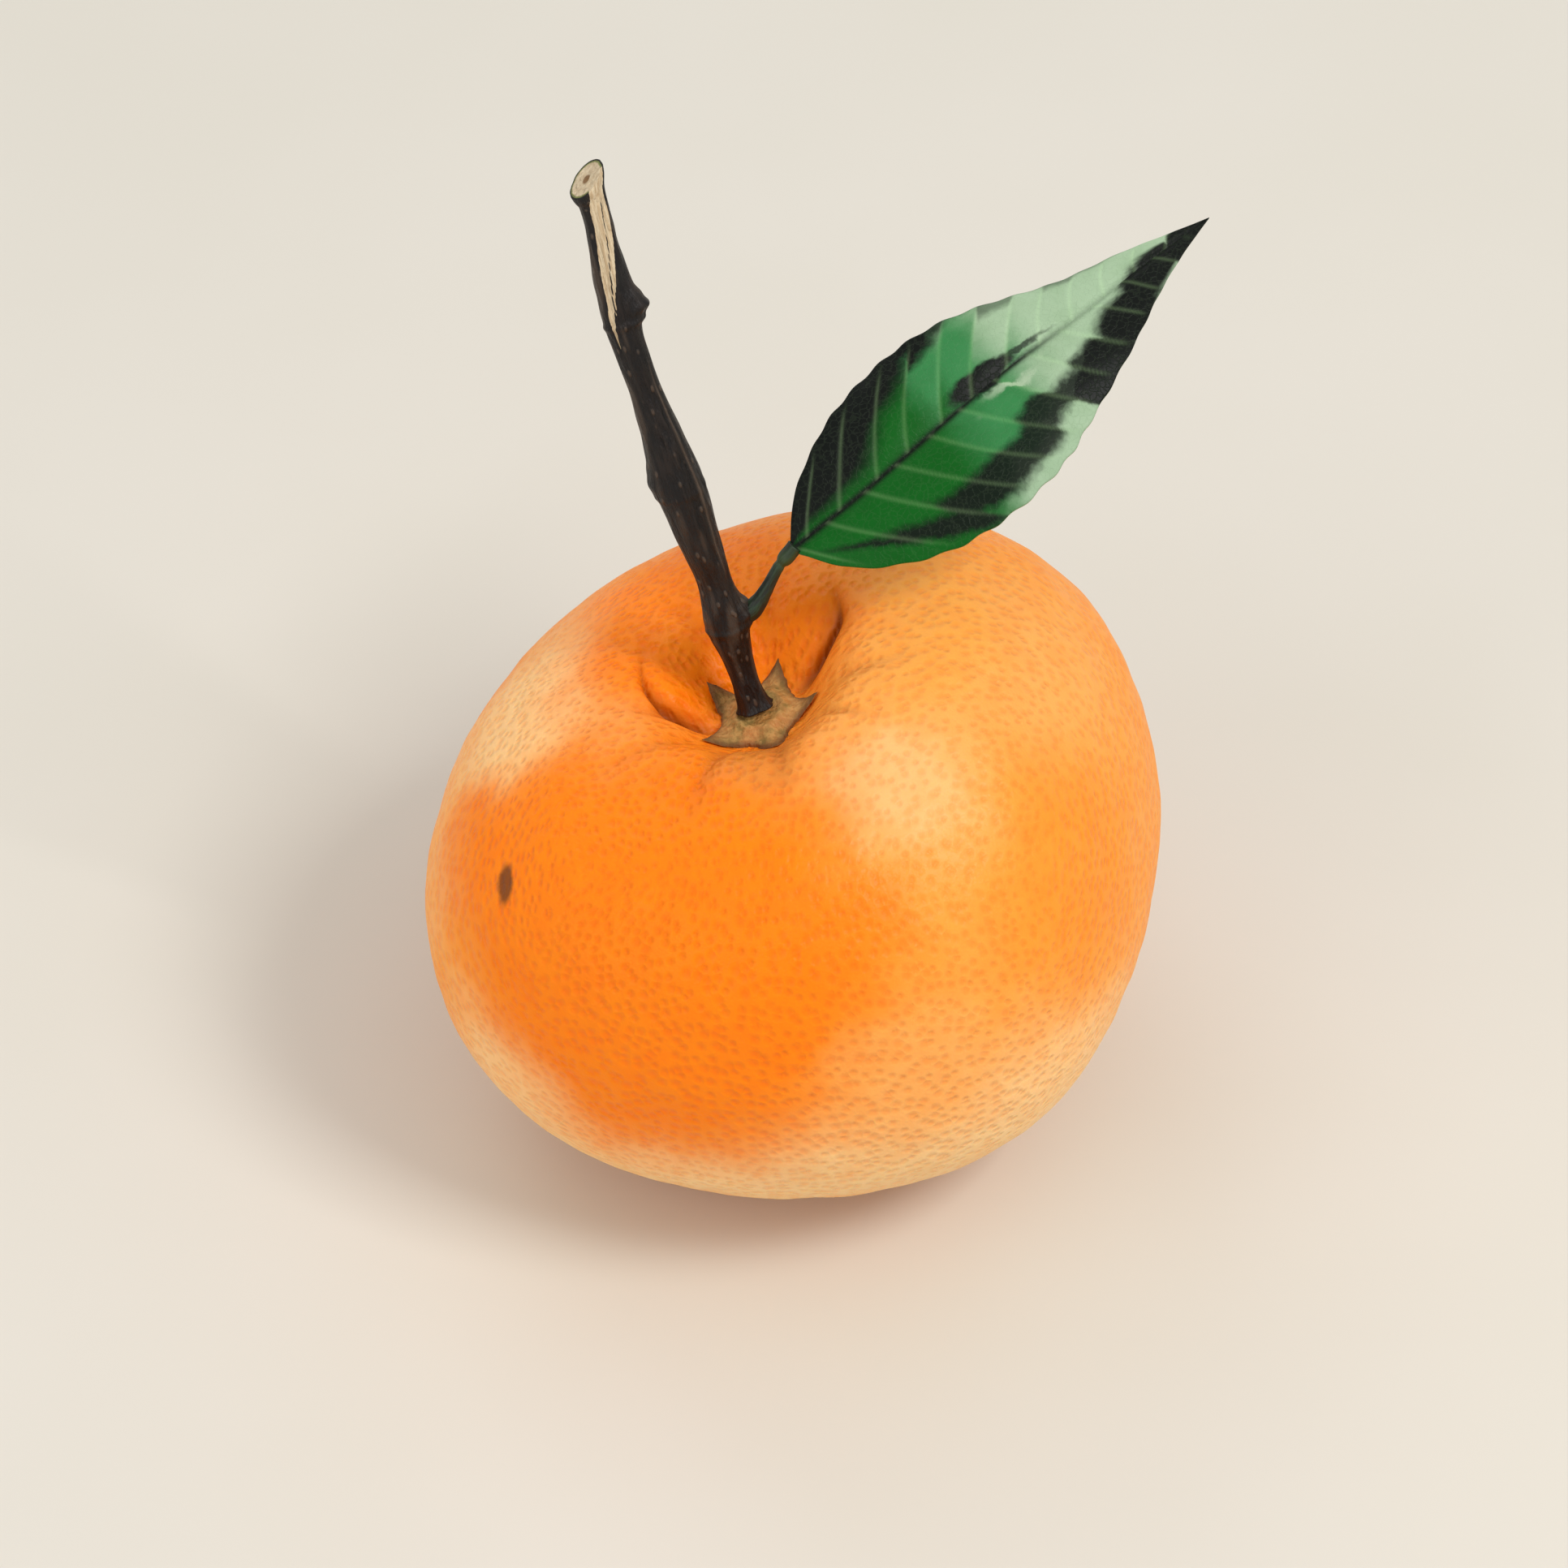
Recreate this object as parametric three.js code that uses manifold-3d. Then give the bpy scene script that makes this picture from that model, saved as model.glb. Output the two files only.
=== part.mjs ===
// A mandarin picked with a length of its twig and one leaf, resting on a small flat spot.
//
// Units are millimetres and +Z is up. The origin is the centre of the flat spot, on its plane.
// The fruit is a little lopsided: the stem end leans to the left (-X), where the shoulder is low,
// and the right shoulder is high and full. The twig rises from the stem end and leans back (+Y),
// and the leaf stands out to the right (+X) on its own stalk.
//
// The fruit and the calyx are first shaped as even, upright forms about their own axis, with the
// girth at height 0, and grow() then carries both of them to where they lie.

import * as THREE from "three";
import { mergeVertices } from "three/addons/utils/BufferGeometryUtils.js";
import Module from "manifold-3d";

const { degToRad, smoothstep } = THREE.MathUtils;
const vec = (x, y, z) => new THREE.Vector3(x, y, z);

// ---------------------------------------------------------------- driving dimensions

const GAP = 0.3; // clear space between neighbouring pieces

const FRUIT = {
  radius: 35, // at the girth
  below: 26.4, // from the girth down to the blossom end
  above: 26.3, // from the girth up to the top of the shoulder
  fullness: 0.6, // of the curves that meet at the girth; 0.55 would make quarters of an ellipse
  shoulderRadius: 12, // of the circle along the top of the shoulder
  shoulderEase: 0.62, // how evenly the shoulder rolls over that circle, both outwards and inwards
  basinDepth: 5.6, // from the shoulder down to the floor where the calyx sits
  floorRadius: 3.4,
  floorEase: 2.2, // how far out the wall starts to level off towards the floor
  floorDish: 0.15, // from the floor's edge down to its middle
  sides: 80,
  steps: 14, // along each of the three curves of the outline
};

// The girth isn't round: each wave swells the fruit "lobes" times on the way round.
const GIRTH_WAVES = [
  { lobes: 2, size: 0.035, at: degToRad(57) },
  { lobes: 3, size: 0.02, at: degToRad(61) },
  { lobes: 4, size: 0.015, at: degToRad(34) },
];

// Shallow pleats run from the basin over the shoulder, between these two radii.
const PLEATS = { count: 9, depth: 0.5, from: 5.5, to: 19, sharpness: 8 };

// How the top differs from an even fruit, growing from nothing at the blossom end.
const SHOULDER = { slope: 0.13, towards: degToRad(-29), shift: vec(-2.1, -2.1, 0) };

// How the whole fruit lies, and where its girth's centre is above the flat spot.
const LIE = { left: degToRad(7.5), forward: degToRad(3.8), centre: vec(3.95, 1.85, 25.89) };

const CALYX = {
  radius: 4.8, // to the mean of its lobes
  lobes: 5,
  lobeSize: 0.2, // share of the radius
  thickness: 1.0, // at the middle
  edge: 0.45, // thickness at the rim
  rings: [0, 0.4, 0.6, 0.8, 1], // shares of the radius
  sides: 50,
};

// Stations along the twig, from the calyx to the cut end: the centre and the radius at each.
const TWIG = {
  stations: [
    { at: vec(-1.4, -1.45, 47.88), radius: 1.4 },
    { at: vec(-2.6, -0.3, 51.2), radius: 1.3 },
    { at: vec(-3.8, 0.8, 55.9), radius: 1.95 },
    { at: vec(-4.9, 1.5, 60.2), radius: 1.55 },
    { at: vec(-6.5, 2.4, 65.3), radius: 1.95 },
    { at: vec(-7.9, 3.4, 69.8), radius: 2.2 },
    { at: vec(-9.3, 4.4, 74.2), radius: 1.85 },
    { at: vec(-10.8, 5.6, 78.9), radius: 1.4 },
    { at: vec(-12.3, 6.8, 83.5), radius: 1.5 },
    { at: vec(-13.4, 8.1, 87.5), radius: 1.6 },
    { at: vec(-14.4, 9.6, 92.3), radius: 1.35 },
    { at: vec(-15.3, 10.9, 96.2), radius: 1.25 },
    { at: vec(-16.2, 12.1, 99.3), radius: 1.75 },
  ],
  steps: 56,
  sides: 14,
  slant: 2.4, // how far the cut end falls from one side to the other
  slantTowards: degToRad(140), // the way the cut faces, as for the swellings
  slantFrom: 0.95, // share of the length where the points begin to slide back to it
};

// Swellings on one side of the twig. "along" and "spread" are shares of its length, and "at" is the
// way the swelling faces: 0 to the right, a quarter turn to the front.
const BUD_SHARPNESS = 3;
const TWIG_BUDS = [
  { along: 0.18, at: degToRad(-10), size: 0.9, spread: 0.022 },
  { along: 0.735, at: degToRad(0), size: 1.1, spread: 0.028 },
  { along: 0.44, at: degToRad(165), size: 0.45, spread: 0.03 },
];

// The leaf's stalk, from the twig's lowest swelling to the joint where the blade begins.
const STALK = {
  stations: [
    { at: vec(-0.95, 1.25, 57.7), radius: 0.8 },
    { at: vec(-0.25, 1.65, 59.0), radius: 0.6 },
    { at: vec(0.75, 2.25, 61.0), radius: 0.55 },
    { at: vec(1.9, 2.9, 62.4), radius: 0.75 },
  ],
  steps: 12,
  sides: 10,
};

const LEAF = {
  // The midrib, from the joint to the tip.
  midrib: [
    vec(2.3, 3.1, 62.75),
    vec(8.6, 6.4, 66.6),
    vec(15.7, 11.1, 70.6),
    vec(22.0, 15.9, 73.4),
    vec(28.3, 20.7, 75.3),
    vec(33.6, 25.6, 76.6),
    vec(40.3, 31.7, 77.7),
  ],
  facing: vec(-0.1, -0.5, 0.86), // the way the upper side looks
  upperHalf: 8.6, // half width on the side away from the fruit
  lowerHalf: 10.9, // half width on the fruit's side
  thickness: 0.5,
  fold: 0.2, // how steeply each half rises from the midrib
  cup: 0.17, // how far its margin turns down again
  ripple: 0.55, // height of the wave along the margin
  ripples: 2.5, // waves along the length
  rippleLag: 2, // how far the lower margin's wave lags the upper one's, in radians
  steps: 34,
  strips: 10, // across both halves
};

// Share of the half width at each share of the length.
const LEAF_OUTLINE = [
  [0, 0.07],
  [0.05, 0.4],
  [0.12, 0.66],
  [0.22, 0.89],
  [0.34, 1.0],
  [0.45, 0.95],
  [0.57, 0.76],
  [0.7, 0.5],
  [0.8, 0.31],
  [0.88, 0.16],
  [0.94, 0.08],
  [1, 0.03],
];

const COLOURS = {
  peel: new THREE.MeshStandardMaterial({ color: 0xff8a05, roughness: 0.42, metalness: 0 }),
  calyx: new THREE.MeshStandardMaterial({ color: 0x7d6a32, roughness: 0.75, metalness: 0 }),
  bark: new THREE.MeshStandardMaterial({ color: 0x1d1712, roughness: 0.8, metalness: 0 }),
  stalk: new THREE.MeshStandardMaterial({ color: 0x23421c, roughness: 0.55, metalness: 0 }),
  leaf: new THREE.MeshStandardMaterial({ color: 0x1d6b33, roughness: 0.45, metalness: 0 }),
};

// ---------------------------------------------------------------- solids

const wasm = await Module();
wasm.setup();

// A closed geometry as a manifold-3d solid.
function solidOf(geometry) {
  const bare = geometry.clone();
  bare.deleteAttribute("normal");
  bare.deleteAttribute("uv");
  const merged = mergeVertices(bare, 1e-4);
  return new wasm.Manifold(
    new wasm.Mesh({
      numProp: 3,
      vertProperties: new Float32Array(merged.attributes.position.array),
      triVerts: new Uint32Array(merged.index.array),
    }),
  );
}

// A manifold-3d solid as a geometry.
function geometryOf(solid) {
  const mesh = solid.getMesh();
  const geometry = new THREE.BufferGeometry();
  geometry.setAttribute("position", new THREE.BufferAttribute(mesh.vertProperties, 3));
  geometry.setIndex(new THREE.BufferAttribute(mesh.triVerts, 1));
  geometry.computeVertexNormals();
  return geometry;
}

// Moves every vertex of a geometry to where place() says.
function reshape(geometry, place) {
  const position = geometry.attributes.position;
  const point = new THREE.Vector3();
  for (let i = 0; i < position.count; i++) {
    point.fromBufferAttribute(position, i);
    const moved = place(point);
    position.setXYZ(i, moved.x, moved.y, moved.z);
  }
  geometry.computeVertexNormals();
  return geometry;
}

// A named mesh.
function piece(name, geometry, material) {
  const mesh = new THREE.Mesh(geometry, material);
  mesh.name = name;
  return mesh;
}

// A solid of revolution about +Z, from an outline of (radius, height) points, lowest first.
function turned(outline, sides) {
  return new THREE.LatheGeometry(outline, sides).rotateX(Math.PI / 2);
}

// ---------------------------------------------------------------- fruit

// Height at a radius on an outline whose radii shrink steadily.
function heightAt(outline, radius) {
  const inwards = outline.findIndex((point) => point.x <= radius);
  if (inwards <= 0) return outline[0].y;
  const [outer, inner] = [outline[inwards - 1], outline[inwards]];
  const share = (outer.x - radius) / (outer.x - inner.x);
  return outer.y + (inner.y - outer.y) * share;
}

// The three curves of the fruit's outline: blossom end to girth, girth to shoulder, and basin.
function fruitCurves() {
  const { radius, below, above, fullness, shoulderRadius, shoulderEase, floorRadius } = FRUIT;
  const floor = above - FRUIT.basinDepth;
  const point = (x, y) => new THREE.Vector2(x, y);
  return {
    underside: new THREE.CubicBezierCurve(
      point(0, -below),
      point(fullness * radius, -below),
      point(radius, -fullness * below),
      point(radius, 0),
    ),
    shoulder: new THREE.CubicBezierCurve(
      point(radius, 0),
      point(radius, fullness * above),
      point(shoulderRadius + shoulderEase * (radius - shoulderRadius), above),
      point(shoulderRadius, above),
    ),
    basin: new THREE.CubicBezierCurve(
      point(shoulderRadius, above),
      point(shoulderEase * shoulderRadius, above),
      point(floorRadius + FRUIT.floorEase, floor),
      point(floorRadius, floor),
    ),
  };
}

// The basin's outline, from the shoulder in to the axis.
function basinOutline() {
  const { above, basinDepth, floorDish, steps } = FRUIT;
  const middle = new THREE.Vector2(0, above - basinDepth - floorDish);
  return [...fruitCurves().basin.getPoints(steps), middle];
}

// The whole outline, from the blossom end up and over into the basin.
function fruitOutline() {
  const { underside, shoulder } = fruitCurves();
  const outside = [...underside.getPoints(FRUIT.steps), ...shoulder.getPoints(FRUIT.steps).slice(1)];
  return [...outside, ...basinOutline().slice(1)];
}

// How far a pleat sinks the peel at a point of the even fruit.
function pleatDepth(point) {
  const { count, depth, from, to, sharpness } = PLEATS;
  const across = (Math.hypot(point.x, point.y) - from) / (to - from);
  if (point.z < 0 || across <= 0 || across >= 1) return 0;
  const turn = Math.atan2(point.y, point.x);
  const crease = Math.cos((count * turn) / 2) ** sharpness;
  return depth * Math.sin(Math.PI * across) ** 2 * crease;
}

// Carries a point of the even, upright fruit to where it lies on the lopsided one.
function grow(point) {
  const turn = Math.atan2(point.y, point.x);
  const swell = GIRTH_WAVES.reduce(
    (sum, wave) => sum + wave.size * Math.cos(wave.lobes * (turn - wave.at)),
    1,
  );
  const moved = vec(point.x * swell, point.y * swell, point.z);
  const rise = smoothstep(point.z, -FRUIT.below, FRUIT.above);
  const along = moved.x * Math.cos(SHOULDER.towards) + moved.y * Math.sin(SHOULDER.towards);
  moved.z += SHOULDER.slope * along * rise;
  moved.addScaledVector(SHOULDER.shift, rise);
  moved.applyAxisAngle(vec(0, -1, 0), LIE.left);
  moved.applyAxisAngle(vec(1, 0, 0), LIE.forward);
  return moved.add(LIE.centre);
}

function fruitGeometry() {
  const grown = reshape(turned(fruitOutline(), FRUIT.sides), (point) => {
    point.z -= pleatDepth(point);
    return grow(point);
  });
  const size = 4 * FRUIT.radius;
  const ground = new THREE.BoxGeometry(size, size, size).translate(0, 0, -size / 2);
  return geometryOf(solidOf(grown).subtract(solidOf(ground)));
}

// ---------------------------------------------------------------- calyx

function calyxGeometry() {
  const basin = basinOutline();
  const { radius, lobes, lobeSize, thickness, edge, rings, sides } = CALYX;
  // A flat disc of radius 1, at height 0 below and 1 above, which is then bent to the basin.
  const under = rings.map((across) => new THREE.Vector2(across, 0));
  const over = rings.toReversed().map((across) => new THREE.Vector2(across, 1));
  return reshape(turned([...under, ...over], sides), (point) => {
    const turn = Math.atan2(point.y, point.x);
    const across = Math.hypot(point.x, point.y);
    const reach = radius * across * (1 + lobeSize * Math.cos(lobes * turn) * across ** 2);
    const deep = edge + (thickness - edge) * (1 - across ** 2);
    const height = heightAt(basin, reach) + GAP + FRUIT.floorDish + point.z * deep;
    return grow(vec(reach * Math.cos(turn), reach * Math.sin(turn), height));
  });
}

// ---------------------------------------------------------------- twig and stalk

// A cylinder bent along its stations. A point's turn is 0 to the right and a quarter to the front.
function bent({ stations, steps, sides }, relief = () => 0, slide = () => 0) {
  const centres = new THREE.CatmullRomCurve3(stations.map((station) => station.at));
  const radii = new THREE.SplineCurve(
    stations.map((station, i) => new THREE.Vector2(i, station.radius)),
  );
  return reshape(new THREE.CylinderGeometry(1, 1, 1, sides, steps), (point) => {
    const along = Math.min(1, Math.max(0, point.y + 0.5));
    const across = Math.hypot(point.x, point.z);
    const turn = Math.atan2(point.z, point.x);
    const heading = centres.getTangent(along);
    const right = vec(1, 0, 0).addScaledVector(heading, -heading.x).normalize();
    const front = right.clone().cross(heading);
    const reach = across * (radii.getPoint(along).y + relief(along, turn));
    return centres
      .getPoint(along)
      .addScaledVector(right, reach * Math.cos(turn))
      .addScaledVector(front, reach * Math.sin(turn))
      .addScaledVector(heading, slide(along, across, turn));
  });
}

// How far the buds stand out of the twig.
function budHeight(along, turn) {
  return TWIG_BUDS.reduce((sum, bud) => {
    const facing = Math.max(0, Math.cos(turn - bud.at)) ** BUD_SHARPNESS;
    return sum + bud.size * facing * Math.exp(-(((along - bud.along) / bud.spread) ** 2));
  }, 0);
}

// How far the slanting cut moves the end's points back along the twig.
function cutBack(along, across, turn) {
  const near = smoothstep(along, TWIG.slantFrom, 1);
  return -near * TWIG.slant * 0.5 * (1 + across * Math.cos(turn - TWIG.slantTowards));
}

// ---------------------------------------------------------------- leaf

// A thin sheet laid along the midrib: its x is the share of the length, its y the side it is on.
function leafGeometry() {
  const { facing, upperHalf, lowerHalf, thickness, fold, cup } = LEAF;
  const { ripple, ripples, rippleLag } = LEAF;
  const centre = new THREE.CatmullRomCurve3(LEAF.midrib);
  const outline = new THREE.SplineCurve(LEAF_OUTLINE.map((pair) => new THREE.Vector2(...pair)));
  const sheet = new THREE.BoxGeometry(1, 1, 1, LEAF.steps, LEAF.strips, 1);
  return reshape(sheet, (point) => {
    const at = outline.getPoint(point.x + 0.5);
    const along = Math.min(1, Math.max(0, at.x));
    const out = 2 * point.y;
    const half = at.y * (out > 0 ? upperHalf : lowerHalf);
    const heading = centre.getTangentAt(along);
    const up = facing.clone().addScaledVector(heading, -facing.dot(heading)).normalize();
    const side = up.clone().cross(heading);
    const wave = Math.sin(2 * Math.PI * ripples * along + (out > 0 ? 0 : rippleLag));
    const bend = half * (fold * Math.abs(out) - cup * out ** 2);
    const lift = bend + ripple * at.y * wave * Math.abs(out) ** 3;
    return centre
      .getPointAt(along)
      .addScaledVector(side, half * out)
      .addScaledVector(up, lift + thickness * point.z);
  });
}

// ---------------------------------------------------------------- mandarin

const mandarin = new THREE.Group();
mandarin.name = "mandarin";
mandarin.add(
  piece("fruit", fruitGeometry(), COLOURS.peel),
  piece("calyx", calyxGeometry(), COLOURS.calyx),
  piece("twig", bent(TWIG, budHeight, cutBack), COLOURS.bark),
  piece("leaf_stalk", bent(STALK), COLOURS.stalk),
  piece("leaf_blade", leafGeometry(), COLOURS.leaf),
);

export default mandarin;
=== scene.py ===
"""A fresh mandarin with its calyx, a length of twig and one leaf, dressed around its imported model.

Sizes are in millimetres and turns in degrees until a piece is finished, when its mesh is scaled to
metres. +Z is up, +X is the side that the leaf stands out on, and +Y is the way the twig leans
back. The origin is the centre of the small flat spot that the fruit rests on, on its plane.

The fruit and the calyx are first shaped as even, upright forms about their own axis, with the
girth at height 0, and Growth then carries both of them to where they lie.
"""

import logging
import math
from collections.abc import Sequence
from dataclasses import dataclass, field
from enum import Enum
from functools import cached_property

import bmesh
import bpy
from mathutils import Matrix, Vector, noise


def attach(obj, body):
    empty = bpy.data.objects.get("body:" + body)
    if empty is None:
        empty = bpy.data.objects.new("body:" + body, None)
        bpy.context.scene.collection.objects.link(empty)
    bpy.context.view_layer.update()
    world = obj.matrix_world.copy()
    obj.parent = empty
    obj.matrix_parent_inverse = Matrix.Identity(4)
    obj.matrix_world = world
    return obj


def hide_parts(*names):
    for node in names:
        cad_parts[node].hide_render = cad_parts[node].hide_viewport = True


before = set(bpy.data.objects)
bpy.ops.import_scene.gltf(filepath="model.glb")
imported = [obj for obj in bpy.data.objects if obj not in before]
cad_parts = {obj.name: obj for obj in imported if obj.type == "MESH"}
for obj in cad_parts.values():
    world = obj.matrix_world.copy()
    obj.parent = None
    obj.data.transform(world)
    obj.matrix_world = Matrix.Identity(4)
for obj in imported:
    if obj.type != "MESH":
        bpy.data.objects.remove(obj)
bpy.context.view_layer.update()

LOG = logging.getLogger("mandarin")

MM = 0.001  # metres in a millimetre
BODY = "root"  # the one body that every piece rides on
WELD = 1e-4  # points nearer than this are one point
PLAIN = "plain"  # attribute: a point's place in the even or straight form of its piece
SEED_WAY = (1, -1.7, 0.6)  # how far a seed of 1 shifts a field of noise along each axis
SOFT_NOISE = (0.3, 0.7)  # the span of a noise that a soft pattern is drawn from
CLEAR_NOISE = (0.35, 0.65)  # the span that a clearer one is drawn from
FADE_PAST = 0.3  # how far past its edge a patch of colour fades, as a share of its softness
HALVINGS = 24  # enough to find a place on a curve to a ten-millionth of it
SHARP_SHADE_WIDTH = 0.6  # a groove of this width or less gets the full painted shade of a sharp fold
ROD_END = 0.9995  # share of a rod's length past which a point is on its cut end
OFF_THE_CUT = 2.0  # what the cut mark is anywhere else

Pair = tuple[float, float]
Triple = tuple[float, float, float]
Station = tuple[float, float, float, float]  # a point and the radius there
Colour = tuple[float, float, float, float]
Ramp = tuple[float, float, float, float]  # a span, and the two numbers it is carried to
Socket = bpy.types.NodeSocket
Number = float | Socket  # a number, or the output that gives it
Shade = Colour | Socket  # a colour, or the output that gives it
Value = Number | Triple | Shade  # what a node's input takes


class Mark(Enum):
    """The numbers that the meshes hold point by point, for their materials to read."""

    PAINTED_CREASE_SHADE = "crease"
    SCAR = "scar"
    RIM = "rim"
    BARE = "bare"
    CUT = "cut"
    RAISED = "raised"
    JOINT = "joint"
    VEIN = "vein"
    RIB_LINE_SHADE = "rib"
    SECTOR = "sector"


# ---------------- small sums


def srgb(red: int, green: int, blue: int) -> Colour:
    """Turns a colour given from 0 to 255 into the linear one that the shaders take.

    The numbers in it are those of the sRGB standard.

    Args:
        red: Share of red, from 0 to 255.
        green: Share of green, from 0 to 255.
        blue: Share of blue, from 0 to 255.

    Returns:
        The linear colour, with full alpha.
    """
    linear = []
    for part in (red, green, blue):
        level = part / 255
        linear.append(level / 12.92 if level <= 0.04045 else ((level + 0.055) / 1.055) ** 2.4)
    return (*linear, 1.0)


def ease(value: float, low: float, high: float) -> float:
    """Rises smoothly from 0 to 1 as a value goes from low to high, whichever is the larger."""
    share = min(1.0, max(0.0, (value - low) / (high - low)))
    return share * share * (3 - 2 * share)


def hill(offset: float, spread: float) -> float:
    """Gives the height of a hill that is 1 at its middle and about a third at its spread."""
    return math.exp(-((offset / spread) ** 2))


def rough(point: Vector, wavelength: float, seed: float = 0.0) -> float:
    """Gives noise from about -1 to 1, whose rises are a wavelength apart, in a seed's own field."""
    return noise.noise(point / wavelength + Vector([seed * part for part in SEED_WAY]))


def rays(point: Vector, closeness: float, run: float) -> float:
    """Gives noise that runs out from the axis in rays.

    Args:
        point: The point, of which only x and y count.
        closeness: How many rises there are in a radian.
        run: Distance along a ray between one rise and the next, in millimetres.

    Returns:
        A value from about -1 to 1.
    """
    radius = math.hypot(point.x, point.y)
    way = Vector((point.x, point.y, 0)).normalized()
    return noise.noise(way * closeness + Vector((0, 0, radius / run)))


def wrapped(turn: float) -> float:
    """Brings a turn in degrees to between -180 and 180."""
    return (turn + 180) % 360 - 180


@dataclass(frozen=True)
class Lumps:
    """An unevenness all over a surface, in millimetres."""

    height: float
    wavelength: float
    seed: float

    def at(self, point: Vector) -> float:
        """Gives how far a point stands out, from about minus the height to the height."""
        return self.height * rough(point, self.wavelength, self.seed)


# ---------------- curves


@dataclass(frozen=True)
class Bend:
    """One cubic curve of an outline, from its start to its end.

    The two pulls are the curve's handles, and every point is (radius, height) in millimetres.
    """

    start: Pair
    start_pull: Pair
    end_pull: Pair
    end: Pair
    steps: int

    def at(self, share: float) -> Vector:
        """Finds the point at a share of the curve.

        Args:
            share: From 0 at the start to 1 at the end.

        Returns:
            The point, as (radius, height).
        """
        rest = 1 - share
        return (
            rest**3 * Vector(self.start)
            + 3 * rest**2 * share * Vector(self.start_pull)
            + 3 * rest * share**2 * Vector(self.end_pull)
            + share**3 * Vector(self.end)
        )


@dataclass(frozen=True)
class Route:
    """A smooth curve through stations of any dimension."""

    stations: tuple[tuple[float, ...], ...]
    near: float = 1e-3  # the share on each side of a point that its heading is taken over
    measures: int = 600  # how many steps it is measured in

    def at(self, share: float) -> Vector:
        """Finds the point at a share of the route, counted by stations.

        Args:
            share: From 0 at the first station to 1 at the last.

        Returns:
            The point on the curve.
        """
        last = len(self.stations) - 1
        reach = min(1.0, max(0.0, share)) * last
        index = min(int(reach), last - 1)
        part = reach - index
        start, end = (Vector(self.stations[index + step]) for step in (0, 1))
        before = Vector(self.stations[index - 1]) if index > 0 else 2 * start - end
        after = Vector(self.stations[index + 2]) if index + 2 <= last else 2 * end - start
        return 0.5 * (
            2 * start
            + (end - before) * part
            + (2 * before - 5 * start + 4 * end - after) * part**2
            + (3 * start - before - 3 * end + after) * part**3
        )

    def heading(self, share: float) -> Vector:
        """Finds the unit vector along the route at a share of it, counted by stations."""
        before, after = max(0, share - self.near), min(1, share + self.near)
        return (self.at(after) - self.at(before)).normalized()

    @cached_property
    def lengths(self) -> list[float]:
        """Measures the route.

        Returns:
            Lengths from the start to each of many even shares of the route.
        """
        points = [self.at(step / self.measures) for step in range(self.measures + 1)]
        lengths = [0.0]
        for start, end in zip(points, points[1:]):
            lengths.append(lengths[-1] + (end - start).length)
        return lengths

    def share_at(self, part: float) -> float:
        """Turns a share of the route's length into a share counted by stations.

        Args:
            part: From 0 to 1 of the length.

        Returns:
            From 0 to 1, counted by stations.
        """
        lengths = self.lengths
        wanted = min(1.0, max(0.0, part)) * lengths[-1]
        low, high = 0, len(lengths) - 1
        while high - low > 1:
            middle = (low + high) // 2
            if lengths[middle] <= wanted:
                low = middle
            else:
                high = middle
        step = (wanted - lengths[low]) / (lengths[high] - lengths[low])
        return (low + step) / (len(lengths) - 1)


# ---------------- starting forms


def turned(bends: Sequence[Bend], sides: int) -> bmesh.types.BMesh:
    """Spins an outline about +Z into a closed skin whose ends lie on the axis.

    Args:
        bends: The outline's curves, end to end, from the bottom up.
        sides: Number of sides round the axis.

    Returns:
        The skin, with its faces looking outwards.
    """
    skin = bmesh.new()
    for index, bend in enumerate(bends):
        ends = [skin.verts.new((index + step, 0, 0)) for step in (0, 1)]
        bmesh.ops.subdivide_edges(skin, edges=[skin.edges.new(ends)], cuts=bend.steps - 1)
    bmesh.ops.remove_doubles(skin, verts=skin.verts, dist=WELD)
    for vert in skin.verts:
        index = min(int(vert.co.x), len(bends) - 1)
        radius, height = bends[index].at(vert.co.x - index)
        vert.co = (radius, 0, height)
    bmesh.ops.spin(
        skin,
        geom=skin.verts[:] + skin.edges[:],
        cent=(0, 0, 0),
        axis=(0, 0, 1),
        angle=math.tau,
        steps=sides,
        use_merge=True,
    )
    bmesh.ops.remove_doubles(skin, verts=skin.verts, dist=WELD)
    bmesh.ops.recalc_face_normals(skin, faces=skin.faces)
    return skin


def rod(sides: int, rings: int, end_rings: int) -> bmesh.types.BMesh:
    """Makes an upright rod of radius 1, from height 0 to 1, with rings along it and on its ends.

    Args:
        sides: Number of sides round the rod.
        rings: Number of steps along it.
        end_rings: Number of steps from the edge of each end to its middle.

    Returns:
        The closed rod, with its faces looking outwards.
    """
    skin = bmesh.new()
    bmesh.ops.create_cone(
        skin,
        cap_ends=True,
        segments=sides,
        radius1=1,
        radius2=1,
        depth=1,
        matrix=Matrix.Translation((0, 0, 0.5)),
    )
    uprights = [edge for edge in skin.edges if edge.verts[0].co.z != edge.verts[1].co.z]
    ends = [face for face in skin.faces if len(face.verts) == sides]
    bmesh.ops.subdivide_edges(skin, edges=uprights, cuts=rings - 1, use_grid_fill=True)
    for _ in range(end_rings - 1):
        bmesh.ops.inset_individual(skin, faces=ends, thickness=1 / end_rings)
    bmesh.ops.poke(skin, faces=ends)
    bmesh.ops.recalc_face_normals(skin, faces=skin.faces)
    return skin


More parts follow.
